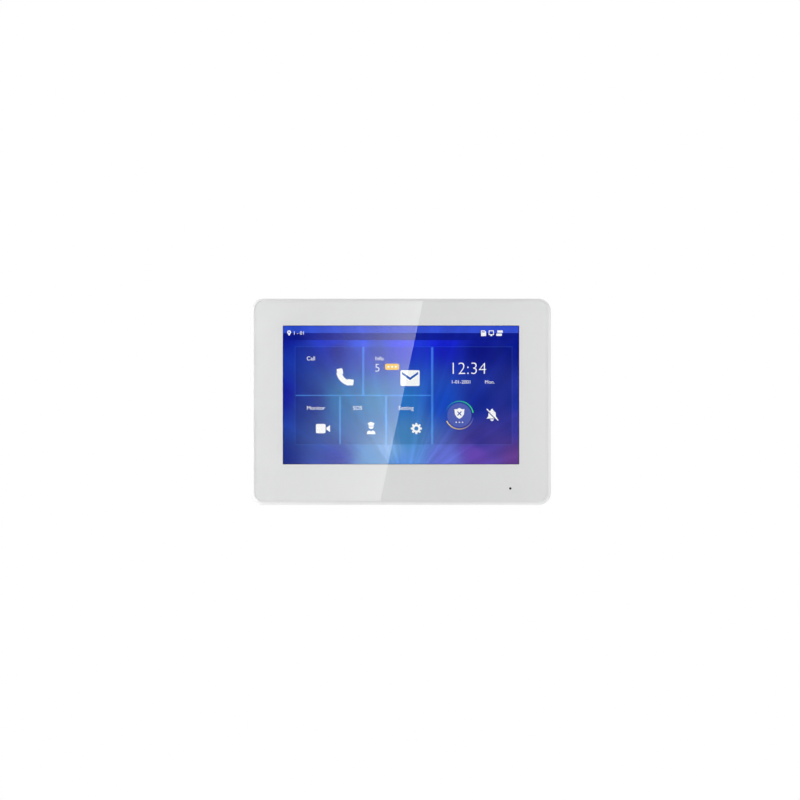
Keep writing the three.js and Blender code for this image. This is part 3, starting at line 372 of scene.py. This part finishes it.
def smoothing_group():
    """Geometry nodes that join a mesh's split corners and shade it smooth across its gentle edges."""
    group = bpy.data.node_groups.new("smooth_gentle_edges", "GeometryNodeTree")
    group.interface.new_socket("Geometry", in_out="INPUT", socket_type="NodeSocketGeometry")
    group.interface.new_socket("Geometry", in_out="OUTPUT", socket_type="NodeSocketGeometry")
    nodes = group.nodes
    start, end = nodes.new("NodeGroupInput"), nodes.new("NodeGroupOutput")
    weld = nodes.new("GeometryNodeMergeByDistance")
    weld.inputs["Distance"].default_value = 1e-6
    faces = nodes.new("GeometryNodeSetShadeSmooth")
    edges = nodes.new("GeometryNodeSetShadeSmooth")
    edges.domain = "EDGE"
    angle = nodes.new("GeometryNodeInputMeshEdgeAngle")
    sharp = nodes.new("FunctionNodeCompare")
    sharp.data_type = "FLOAT"
    sharp.operation = "GREATER_THAN"
    sharp.inputs["B"].default_value = SMOOTH_LIMIT
    edges.inputs["Shade Smooth"].default_value = False
    links = group.links
    links.new(start.outputs["Geometry"], weld.inputs["Geometry"])
    links.new(weld.outputs["Geometry"], faces.inputs["Geometry"])
    links.new(faces.outputs["Geometry"], edges.inputs["Geometry"])
    links.new(angle.outputs["Unsigned Angle"], sharp.inputs["A"])
    links.new(sharp.outputs["Result"], edges.inputs["Selection"])
    links.new(edges.outputs["Geometry"], end.inputs["Geometry"])
    return group


SHEET_PIECES = ("wall_bracket",)  # flat sheet with no curved faces beside its edges


def soften_edges(piece, width):
    """Rounds a piece's sharp edges, and keeps the flats beside them shaded flat."""
    bevel = piece.modifiers.new("soft edges", "BEVEL")
    bevel.width = width
    bevel.segments = 2
    bevel.limit_method = "ANGLE"
    bevel.angle_limit = math.radians(40)
    if piece.name in SHEET_PIECES:
        bevel.harden_normals = True
        return
    normals = piece.modifiers.new("flat faces", "WEIGHTED_NORMAL")
    normals.mode = "FACE_AREA_WITH_ANGLE"
    normals.weight = 90


# How wide a piece's softened edges are, in mm.
EDGE_WIDTHS = {
    "front_frame": 0.06,
    "rear_cover": 0.2,
    "wall_bracket": 0.15,
    "alarm_header": 0.1,
    "power_header": 0.1,
    "alarm_plug": 0.15,
    "power_plug": 0.15,
    "network_jack_shell": 0.08,
    "network_jack_insert": 0.08,
    "sd_card": 0.08,
    "backlight_tray": 0.1,
}


def dress_cad_pieces():
    """Gives every CAD piece its finish, smooth shading and, where it shows, softened edges."""
    finishes = slot_materials()
    smooth = smoothing_group()
    for entry in frame["record"]["subparts"]:
        piece = NODES[entry["node"]]
        piece.data.materials.clear()
        piece.data.materials.append(finishes[entry["material_slot"]])
        shading = piece.modifiers.new("smooth shading", "NODES")
        shading.node_group = smooth
        if entry["node"] in EDGE_WIDTHS:
            soften_edges(piece, EDGE_WIDTHS[entry["node"]] * MM)
    # Clear pieces, and the rim whose shadow would darken the print beside it.
    for name in ("cover_glass", "touch_sensor", "light_guide", "front_frame"):
        NODES[name].visible_shadow = False


# ---- The printed border behind the glass ----------------------------------------------------------


def prism(bm, loops, front, back):
    """A flat ring or plate between two depths. The first loop is its outline and the rest are holes."""
    flat = [point for loop in loops for point in loop]
    triangles = tessellate_polygon([[Vector((x, z, 0)) for x, z in loop] for loop in loops])
    sheets = []
    for y in (front, back):
        corners = [bm.verts.new((x, y, z)) for x, z in flat]
        for triangle in triangles:
            bm.faces.new([corners[i] for i in triangle])
        sheets.append(corners)
    start = 0
    for loop in loops:
        count = len(loop)
        for i in range(count):
            a, b = start + i, start + (i + 1) % count
            bm.faces.new((sheets[0][a], sheets[0][b], sheets[1][b], sheets[1][a]))
        start += count
    bmesh.ops.recalc_face_normals(bm, faces=bm.faces)


def printed_border():
    """The white print: a thin sheet with a window for the picture and a hole for the microphone."""
    low, high = GLASS_LOW, GLASS_HIGH
    w = high.x - low.x - 2 * BORDER_EDGE
    h = high.z - low.z - 2 * BORDER_EDGE
    middle_x, middle_z = (low.x + high.x) / 2, (low.z + high.z) / 2
    outside = rounded_outline(w, h, BORDER_RADIUS, middle_x, middle_z)
    window = rounded_outline(
        PICTURE_W + 2 * BORDER_MARGIN,
        PICTURE_H + 2 * BORDER_MARGIN,
        WINDOW_RADIUS,
        PICTURE_LEFT + PICTURE_W / 2,
        PICTURE_TOP - PICTURE_H / 2,
        4,
    )
    hole = round_outline(SOUND_HOLE[0], SOUND_HOLE[1], SOUND_HOLE[2] + HOLE_MARGIN)
    bm = bmesh.new()
    prism(bm, [outside, window, hole], high.y + PRINT_FRONT, high.y + PRINT_BACK)
    border = mesh_object("printed_border", bm)
    border.data.materials.append(printed_ink())
    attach(border, "monitor")


# ---- The picture on the screen --------------------------------------------------------------------

# Places on the screen are in mm from the top left of the lit area: u to the right and v down.
# So are the icons' outlines, each about its own middle.
SCREEN_U, SCREEN_V = PICTURE_W / MM, PICTURE_H / MM
STATUS_BAR = 9.2  # the bar's height
CAP_SHARE = 0.69  # a capital letter's height over the font's size
PANEL = (7.9, 13.7, 149.1, 77.3)  # the block of tiles
TILES = {
    "call": (7.9, 13.7, 51.5, 44.9),
    "notices": (52.9, 13.7, 96.4, 44.9),
    "clock": (97.9, 13.7, 149.1, 77.3),
    "camera": (7.9, 45.7, 36.4, 77.3),
    "guard": (37.7, 45.7, 66.4, 77.3),
    "settings": (67.8, 45.7, 96.4, 77.3),
}
WHITE = [1.06, 1.06, 1.06]
AMBER = linear((255, 200, 70))

# The wallpaper's colours at places on the screen, blended between them.
WALLPAPER = [
    (0, 0, (8, 14, 140)),
    (0, 45, (14, 26, 148)),
    (0, 90, (6, 32, 123)),
    (32, 10, (12, 44, 196)),
    (50, 10, (30, 70, 215)),
    (35, 15, (14, 36, 158)),
    (18, 50, (14, 50, 150)),
    (40, 48, (28, 117, 186)),
    (35, 88, (14, 44, 156)),
    (60, 50, (40, 130, 192)),
    (60, 15, (34, 66, 190)),
    (60, 88, (70, 132, 190)),
    (77, 12, (20, 44, 222)),
    (77, 50, (42, 122, 208)),
    (80, 72, (70, 138, 200)),
    (70, 80, (114, 160, 213)),
    (80, 90, (92, 142, 218)),
    (105, 12, (14, 28, 200)),
    (105, 50, (20, 76, 202)),
    (105, 88, (96, 108, 205)),
    (128, 15, (3, 18, 140)),
    (128, 50, (16, 42, 158)),
    (128, 75, (56, 52, 148)),
    (126, 84, (98, 66, 170)),
    (153, 12, (0, 19, 134)),
    (153, 50, (26, 44, 152)),
    (153, 62, (50, 50, 150)),
    (153, 88, (94, 56, 134)),
]
WALLPAPER_LINEAR = [(u, v, linear(rgb)) for u, v, rgb in WALLPAPER]
BLEND_POWER = 3.2  # how quickly a named colour's weight falls with distance
BLEND_CORE = 1.5  # mm, added to each distance to keep the weights finite


def wallpaper(u, v):
    """The wallpaper's colour at a place: its named colours, weighted by nearness."""
    total, colour = 0.0, [0.0, 0.0, 0.0]
    for near_u, near_v, rgb in WALLPAPER_LINEAR:
        weight = (math.hypot(u - near_u, v - near_v) + BLEND_CORE) ** -BLEND_POWER
        total += weight
        colour = [c + weight * part for c, part in zip(colour, rgb)]
    return [c / total for c in colour]


class Picture:
    """A flat mesh of lit shapes on the screen, each shape in its own colour."""

    def __init__(self, name, material):
        self.name, self.material = name, material
        self.bm = bmesh.new()
        self.colour = self.bm.verts.layers.float_color.new("pixel_colour")

    def corner(self, u, v, level, colour):
        at = (PICTURE_LEFT + u * MM, PICTURE_Y - level * LAYER, PICTURE_TOP - v * MM)
        made = self.bm.verts.new(at)
        made[self.colour] = (*colour, 1.0)
        return made

    def fill(self, loops, level, colour):
        """Fills an outline, less its holes."""
        flat = [point for loop in loops for point in loop]
        corners = [self.corner(u, v, level, colour) for u, v in flat]
        for triangle in tessellate_polygon([[Vector((u, v, 0)) for u, v in loop] for loop in loops]):
            self.bm.faces.new([corners[i] for i in triangle])

    def sheet(self, area, level, paint, cell=1.5):
        """Fills a rectangle with a colour worked out from place to place."""
        u0, v0, u1, v1 = area
        columns, rows = math.ceil((u1 - u0) / cell), math.ceil((v1 - v0) / cell)
        grid = []
        for j in range(rows + 1):
            v = v0 + (v1 - v0) * j / rows
            us = [u0 + (u1 - u0) * i / columns for i in range(columns + 1)]
            grid.append([self.corner(u, v, level, paint(u, v)) for u in us])
        for j in range(rows):
            for i in range(columns):
                self.bm.faces.new((grid[j][i], grid[j][i + 1], grid[j + 1][i + 1], grid[j + 1][i]))

    def bar(self, start, end, width, level, colour):
        """A straight stroke with square ends."""
        (u0, v0), (u1, v1) = start, end
        length = math.hypot(u1 - u0, v1 - v0)
        du = -(v1 - v0) / length * width / 2
        dv = (u1 - u0) / length * width / 2
        outline = [(u0 + du, v0 + dv), (u1 + du, v1 + dv), (u1 - du, v1 - dv), (u0 - du, v0 - dv)]
        self.fill([outline], level, colour)

    def words(self, text, left, low, cap_height, level, colour, thin=0.0):
        """Figures or a plain word, from its left end and the line it stands on."""
        curve = bpy.data.curves.new("words", "FONT")
        curve.body = text
        curve.size = cap_height / CAP_SHARE
        curve.offset = -thin
        maker = bpy.data.objects.new("words", curve)
        bpy.context.scene.collection.objects.link(maker)
        bpy.context.view_layer.update()
        flat = bpy.data.meshes.new_from_object(maker)
        corners = [self.corner(left + p.co.x, low - p.co.y, level, colour) for p in flat.vertices]
        for face in flat.polygons:
            self.bm.faces.new([corners[i] for i in face.vertices])
        bpy.data.objects.remove(maker)
        bpy.data.curves.remove(curve)
        bpy.data.meshes.remove(flat)

    def finish(self):
        made = mesh_object(self.name, self.bm)
        made.data.materials.append(self.material)
        made.visible_shadow = False
        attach(made, "monitor")


def arc_band(u, v, inner, outer, start, end, steps=24):
    """Outline of a curved band. Angles are in degrees, anticlockwise from the right."""
    angles = [math.radians(start + (end - start) * i / steps) for i in range(steps + 1)]
    far = [(u + outer * math.cos(a), v - outer * math.sin(a)) for a in angles]
    near = [(u + inner * math.cos(a), v - inner * math.sin(a)) for a in reversed(angles)]
    return far + near


def card(u0, v0, u1, v1, r=0.6):
    """A rounded rectangle on the screen."""
    return rounded_outline(u1 - u0, v1 - v0, r, (u0 + u1) / 2, (v0 + v1) / 2, 5)


def moved(points, u, v, turn=0.0):
    """An outline turned by some degrees about its own origin, then set down at a place."""
    c, s = math.cos(math.radians(turn)), math.sin(math.radians(turn))
    return [(u + x * c - y * s, v + x * s + y * c) for x, y in points]


STATUS_UPPER = (linear((42, 74, 200)), linear((48, 74, 202)))  # at the bar's left and right ends
STATUS_LOWER = linear((2, 20, 132))
STATUS_SEE_THROUGH = 0.12  # how much of the wallpaper shows in the bar's lower half
PANEL_BLUE = linear((90, 170, 245))
GAP_TINT, RIM_TINT = 0.30, 0.08  # how much of that blue lies over the wallpaper
TILE_SHADE = 0.78


def status_colour(u, v):
    if v > STATUS_BAR / 2:
        return mixed(STATUS_LOWER, wallpaper(u, v), STATUS_SEE_THROUGH)
    return mixed(*STATUS_UPPER, u / SCREEN_U)


def tile_colour(u, v):
    return [c * TILE_SHADE for c in wallpaper(u, v)]


def gap_colour(u, v):
    return mixed(wallpaper(u, v), PANEL_BLUE, GAP_TINT)


def rim_colour(u, v):
    return mixed(wallpaper(u, v), PANEL_BLUE, RIM_TINT)


# The layers of the picture, from the back to the front.
GROUND, PANEL_EDGE, PANEL_GAPS, TILE, ON_TILE, ON_ICON, ON_DETAIL = range(7)


def wallpaper_picture():
    """The status bar, the wallpaper and the block of darker tiles on it."""
    picture = Picture("screen_wallpaper", lit_picture())
    middle = STATUS_BAR / 2
    hair = 0.001  # keeps the lower half's first row out of the upper half's colour
    picture.sheet((0, 0, SCREEN_U, middle), GROUND, status_colour)
    picture.sheet((0, middle + hair, SCREEN_U, STATUS_BAR), GROUND, status_colour)
    picture.sheet((0, STATUS_BAR, SCREEN_U, SCREEN_V), GROUND, wallpaper)
    u0, v0, u1, v1 = PANEL
    edge = 0.3
    picture.sheet((u0 - edge, v0 - edge, u1 + edge, v1 + edge), PANEL_EDGE, rim_colour)
    picture.sheet((u0 + edge, v0 + edge, u1 - edge, v1 - edge), PANEL_GAPS, gap_colour)
    for area in TILES.values():
        picture.sheet(area, TILE, tile_colour)
    picture.finish()


def status_icons(picture):
    """The small signs in the bar along the top."""
    # A map pin, then the room's number.
    pin = arc_band(3.8, 4.1, 0, 1.25, -30, 210, 18)[:19] + [(3.8, 6.5)]
    picture.fill([pin, round_outline(3.8, 4.1, 0.5, 14)], ON_TILE, WHITE)
    picture.words("1 - 01", 6.4, 5.7, 2.2, ON_TILE, WHITE)
    # A memory card, a network plug and a pair of sheets.
    picture.fill([[(129, 2.9), (131.4, 2.9), (132.3, 3.8), (132.3, 6.6), (129, 6.6)]], ON_TILE, WHITE)
    for i in range(3):
        picture.fill([card(129.5 + 0.7 * i, 3.3, 129.9 + 0.7 * i, 4.3, 0.05)], ON_ICON, linear((20, 40, 150)))
    picture.fill([card(134, 2.9, 137.4, 5.9, 0.3), card(134.5, 3.4, 136.9, 5.4, 0.1)], ON_TILE, WHITE)
    picture.fill([card(135.1, 5.9, 136.3, 6.6, 0.05)], ON_TILE, WHITE)
    picture.fill([card(139.6, 2.9, 143.2, 4.4, 0.25)], ON_TILE, WHITE)
    picture.fill([card(139.0, 4.9, 142.6, 6.5, 0.25)], ON_TILE, WHITE)


def handset_icon(picture):
    """A telephone handset lying on the diagonal, its hollow towards the upper right."""
    u, v = 40.4, 33.2
    handle = arc_band(u + 4.6, v - 4.6, 7.2, 10.6, 192, 258, 24)
    picture.fill([handle], ON_TILE, WHITE)
    cup = [(-1.9, -1.9), (1.3, -2.1), (2.0, -1.4), (2.0, 1.5), (1.3, 2.1), (-1.9, 1.9)]
    picture.fill([moved(cup, u - 3.5, v - 3.4, -8)], ON_TILE, WHITE)
    picture.fill([moved(cup, u + 3.4, v + 3.5, 98)], ON_TILE, WHITE)


def envelope_icon(picture):
    """A closed envelope with the line of its flap."""
    u, v = 82.7, 34.0
    picture.fill([card(u - 6.25, v - 5.15, u + 6.25, v + 5.15, 0.9)], ON_TILE, WHITE)
    flap = [(-5.3, -4.1), (0, -0.4), (5.3, -4.1), (5.3, -2.5), (0, 1.3), (-5.3, -2.5)]
    picture.fill([moved(flap, u, v)], ON_ICON, linear((30, 95, 190)))


def notice_count(picture):
    """A figure, and a small amber badge with three dots."""
    picture.words("5", 59.5, 29.8, 5.2, ON_TILE, WHITE, 0.12)
    picture.fill([card(66.4, 24.6, 75.6, 28.7, 1.0)], ON_TILE, AMBER)
    for i in range(3):
        picture.fill([round_outline(68.6 + 2.4 * i, 26.65, 0.62, 14)], ON_ICON, WHITE)


def camera_icon(picture):
    """A video camera's body and its lens hood, seen from the side."""
    picture.fill([card(21.3, 63.9, 27.6, 70.0, 0.9)], ON_TILE, WHITE)
    picture.fill([[(28.1, 66.4), (30.5, 64.7), (30.5, 69.2), (28.1, 67.5)]], ON_TILE, WHITE)


def guard_icon(picture):
    """A guard: a peaked cap, a plain round head and shoulders."""
    u = 57.3
    cap = [(-2.5, 0.2), (-0.2, -1.1), (2.5, 0.2), (1.7, 0.9), (1.6, 1.7), (-1.6, 1.7), (-1.7, 0.9)]
    picture.fill([moved(cap, u, 63.5)], ON_TILE, WHITE)
    picture.fill([arc_band(u, 65.5, 0, 1.7, 180, 360, 16)[:17]], ON_TILE, WHITE)
    shoulders = [(-2.9, 0), (-2.4, -1.9), (-0.9, -2.5), (0, -1.6), (0.9, -2.5), (2.4, -1.9), (2.9, 0)]
    picture.fill([moved(shoulders, u, 70.6)], ON_TILE, WHITE)


def gear_icon(picture):
    """A cog wheel with a round hole."""
    u, v, teeth = 86.8, 66.9, 8
    outline = []
    for i in range(teeth):
        for share, r in ((-0.32, 2.75), (-0.2, 3.65), (0.2, 3.65), (0.32, 2.75)):
            angle = (i + share) * math.tau / teeth
            outline.append((u + r * math.cos(angle), v + r * math.sin(angle)))
    picture.fill([outline, round_outline(u, v, 1.35, 18)], ON_TILE, WHITE)


def fading(picture, centre, radii, angles, colour, background):
    """A curved band that fades along its length, from its first angle to its last."""
    start, end = angles
    steps = 24
    step = (end - start) / steps
    for i in range(steps):
        shade = mixed(colour, background, (i + 0.5) / steps)
        band = arc_band(*centre, *radii, start + i * step, start + (i + 1) * step, 2)
        picture.fill([band], ON_TILE, shade)


def safety_disc(picture):
    """A pale disc inside two fading arcs, with a crossed shield and three dots on it."""
    u, v = 114.9, 58.2
    ground = wallpaper(u, v)
    fading(picture, (u, v), (8.7, 9.4), (10, 165), linear((60, 235, 110)), ground)
    fading(picture, (u, v), (8.7, 9.4), (205, 350), linear((250, 215, 90)), ground)
    picture.fill([round_outline(u, v, 7.9, 48)], ON_TILE, mixed(ground, [1.0, 1.0, 1.0], 0.07))
    right_side = [(0, -3.8), (1.6, -2.9), (3.3, -2.9), (2.9, 0.5), (1.7, 2.3), (0, 3.4)]
    shield = right_side + [(-x, y) for x, y in reversed(right_side[1:-1])]
    picture.fill([moved(shield, u, v - 1.0)], ON_ICON, WHITE)
    for side in (-1, 1):
        picture.bar((u - side * 1.3, v - 2.4), (u + side * 1.3, v + 0.2), 0.65, ON_DETAIL, ground)
    for i in (-1, 0, 1):
        picture.fill([round_outline(u + 2.1 * i, v + 4.6, 0.42, 12)], ON_ICON, WHITE)


def bell_icon(picture):
    """A bell, struck through."""
    u, v = 136.2, 58.0
    right_side = [(0, -4.0), (0.6, -3.7), (0.7, -3.1), (2.3, -1.5), (2.5, 1.0), (3.6, 2.4)]
    bell = right_side + [(-x, y) for x, y in reversed(right_side[1:])]
    picture.fill([moved(bell, u, v)], ON_TILE, WHITE)
    picture.fill([arc_band(u, v + 2.9, 0, 1.1, 180, 360, 10)[:11]], ON_TILE, WHITE)
    picture.bar((u - 3.3, v - 3.0), (u + 3.9, v + 4.2), 0.8, ON_ICON, tile_colour(u, v))
    picture.bar((u - 3.5, v - 3.9), (u + 4.0, v + 3.6), 0.7, ON_DETAIL, WHITE)


def icon_picture():
    """All the icons, words and figures."""
    picture = Picture("screen_icons", lit_icons())
    status_icons(picture)
    labels = {
        "Call": (15.2, 22.4),
        "Info": (59.9, 22.4),
        "Monitor": (15.2, 54.7),
        "SOS": (45.3, 54.7),
        "Setting": (75.1, 54.7),
    }
    for text, (u, v) in labels.items():
        picture.words(text, u, v, 2.5, ON_TILE, WHITE)
    handset_icon(picture)
    envelope_icon(picture)
    notice_count(picture)
    camera_icon(picture)
    guard_icon(picture)
    gear_icon(picture)
    picture.words("12:34", 108.1, 31.4, 7.7, ON_TILE, WHITE, 0.2)
    picture.words("1-01-2001", 109.4, 37.6, 2.2, ON_TILE, WHITE)
    picture.words("Mon.", 131.4, 37.6, 2.2, ON_TILE, WHITE)
    safety_disc(picture)
    bell_icon(picture)
    picture.finish()


# ---- Camera, lights and floor ---------------------------------------------------------------------


def add_camera():
    data = bpy.data.cameras.new("camera")
    data.lens = LENS
    data.clip_start = 0.01
    camera = bpy.data.objects.new("camera", data)
    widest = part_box("front_frame")[0].y + WIDEST_DEPTH
    camera.location = (CAMERA_AIM[0], widest - CAMERA_DISTANCE, CAMERA_AIM[1])
    camera.rotation_euler = (math.pi / 2, 0, 0)
    bpy.context.scene.collection.objects.link(camera)
    bpy.context.scene.camera = camera


def area_light(name, place, aim, size, power):
    data = bpy.data.lights.new(name, "AREA")
    data.shape = "RECTANGLE"
    data.size, data.size_y = size
    data.energy = power
    light = bpy.data.objects.new(name, data)
    light.location = place
    light.rotation_euler = (Vector(aim) - Vector(place)).to_track_quat("-Z", "Y").to_euler()
    light.visible_camera = False
    bpy.context.scene.collection.objects.link(light)


GLARE_Y = -1.6  # the softbox stands just behind the camera
GLARE_REACH, GLARE_WIDTH = 0.2, 0.26  # half its height, and how far it goes from its slanted edge
GLARE_STRENGTH = 1.35
GLARE_FALL, GLARE_CURVE = 1.55, 1.5  # how soon and how steeply it fades across its width
# Two places on the glass, x and z, where the edge of its reflection passes.
GLARE_TOP, GLARE_FOOT = (15.0 * MM, 66.4 * MM), (-13.7 * MM, -67.4 * MM)


def softbox_glow():
    """Plain light, as strong from place to place as the sheet's own colour layer says."""
    material = bpy.data.materials.new("softbox")
    material.use_nodes = True
    nodes, links = material.node_tree.nodes, material.node_tree.links
    nodes.clear()
    glow = nodes.new("ShaderNodeEmission")
    glow.inputs["Strength"].default_value = GLARE_STRENGTH
    value = nodes.new("ShaderNodeAttribute")
    value.attribute_name = "glow"
    out = nodes.new("ShaderNodeOutputMaterial")
    links.new(value.outputs["Color"], glow.inputs["Color"])
    links.new(glow.outputs["Emission"], out.inputs["Surface"])
    keep_out_of_lighting(material)
    return material


def softbox_edge():
    """The foot and the top of the softbox's slanted edge, x and z, from where its reflection passes."""
    glass_y = GLASS_LOW.y
    camera_y = bpy.context.scene.camera.location.y
    grow = 1 + (GLARE_Y - glass_y) / (camera_y - glass_y)
    top = [c * grow for c in GLARE_TOP]
    foot = [c * grow for c in GLARE_FOOT]
    run = (top[0] - foot[0]) / (top[1] - foot[1])
    return [(foot[0] + run * (z - foot[1]), z) for z in (-GLARE_REACH, GLARE_REACH)]


def softbox():
    """A glowing sheet behind the camera. Its slanted edge and its fade show as the glare on the glass."""
    bm = bmesh.new()
    shade = bm.verts.layers.float_color.new("glow")
    columns = 24
    rows = []
    for x, z in softbox_edge():
        row = []
        for i in range(columns + 1):
            share = i / columns
            glow = max(0.0, 1 - share * GLARE_FALL) ** GLARE_CURVE
            made = bm.verts.new((x - share * GLARE_WIDTH, GLARE_Y, z))
            made[shade] = (glow, glow, glow, 1)
            row.append(made)
        rows.append(row)
    for i in range(columns):
        bm.faces.new((rows[0][i], rows[0][i + 1], rows[1][i + 1], rows[1][i]))
    sheet = mesh_object("softbox", bm)
    sheet.data.materials.append(softbox_glow())
    sheet.visible_camera = False
    sheet.visible_shadow = False


def black_flag():
    """A black sheet behind the softbox, so that the glass mirrors nothing else there."""
    half, behind = 0.34, 0.05
    bm = bmesh.new()
    corners = [(-half, -half), (half, -half), (half, half), (-half, half)]
    bm.faces.new([bm.verts.new((x, GLARE_Y - behind, z)) for x, z in corners])
    sheet = mesh_object("black_flag", bm)
    sheet.data.materials.append(woven("black_cloth", [0.002, 0.002, 0.002]))
    sheet.visible_camera = False
    sheet.visible_diffuse = False
    sheet.visible_shadow = False


# The pair of lights on each side: its direction, its name, and the powers of the near and far one.
SIDE_LIGHTS = ((-1, "left", 0.205, 2.0), (1, "right", 0.142, 1.0))
# The single soft lights: place, size and power.
SOFT_LIGHTS = {
    "front_soft": ((-0.7, -1.3, 0.5), (0.9, 0.9), 3.5),
    "top_soft": ((0.0, -0.5, 1.3), (1.2, 0.8), 4.2),
    "rear_fill": ((0.7, 1.3, 0.7), (2.4, 2.4), 11),
    "rear_edge": ((-0.9, 1.0, 0.5), (1.2, 1.6), 4),
}


def add_lights():
    """Near side lights for the border, far ones for the rims, and soft lights all round."""
    centre = (0, -0.02, 0)
    for side, name, power, edge_power in SIDE_LIGHTS:
        area_light(f"{name}_side", (side * 0.22, -0.14, 0.0), centre, (0.08, 0.44), power)
        area_light(f"{name}_edge", (side * 0.9, -0.02, 0.0), centre, (0.3, 0.5), edge_power)
    for name, (place, size, power) in SOFT_LIGHTS.items():
        area_light(name, place, centre, size, power)


BACKDROP, AMBIENT = 1.0, 0.32  # the world's strength as the camera sees it, and as it lights the object


def add_world():
    """White where the camera looks past the object, and dim soft light everywhere else."""
    world = bpy.data.worlds.new("studio")
    bpy.context.scene.world = world
    world.use_nodes = True
    nodes, links = world.node_tree.nodes, world.node_tree.links
    background = nodes["Background"]
    path = nodes.new("ShaderNodeLightPath")
    strength = nodes.new("ShaderNodeMapRange")
    strength.inputs["To Min"].default_value = AMBIENT
    strength.inputs["To Max"].default_value = BACKDROP
    background.inputs["Color"].default_value = (1, 1, 1, 1)
    links.new(path.outputs["Is Camera Ray"], strength.inputs["Value"])
    links.new(strength.outputs["Result"], background.inputs["Strength"])


FLOOR_Z, FLOOR_RADIUS = -0.5, 1.1
FLOOR_GLOW = 0.34  # as from a lit sweep


def add_floor():
    """A round pale floor, far enough below the wall-hung object to stay out of the front view."""
    bm = bmesh.new()
    bm.faces.new([bm.verts.new((x, y, FLOOR_Z)) for x, y in round_outline(0, 0, FLOOR_RADIUS, 96)])
    floor = mesh_object("floor", bm)
    paint = moulded("floor_paint", [0.86, 0.86, 0.86], 0.7, 60.0, 0.1)
    surface = paint.node_tree.nodes["Principled BSDF"]
    surface.inputs["Emission Color"].default_value = (1, 1, 1, 1)
    surface.inputs["Emission Strength"].default_value = FLOOR_GLOW
    keep_out_of_lighting(paint)
    floor.data.materials.append(paint)


# ---- The scene ------------------------------------------------------------------------------------

bpy.context.scene.view_settings.view_transform = "Standard"
add_camera()
add_world()
add_lights()
softbox()
black_flag()
add_floor()
dress_cad_pieces()
printed_border()
wallpaper_picture()
icon_picture()
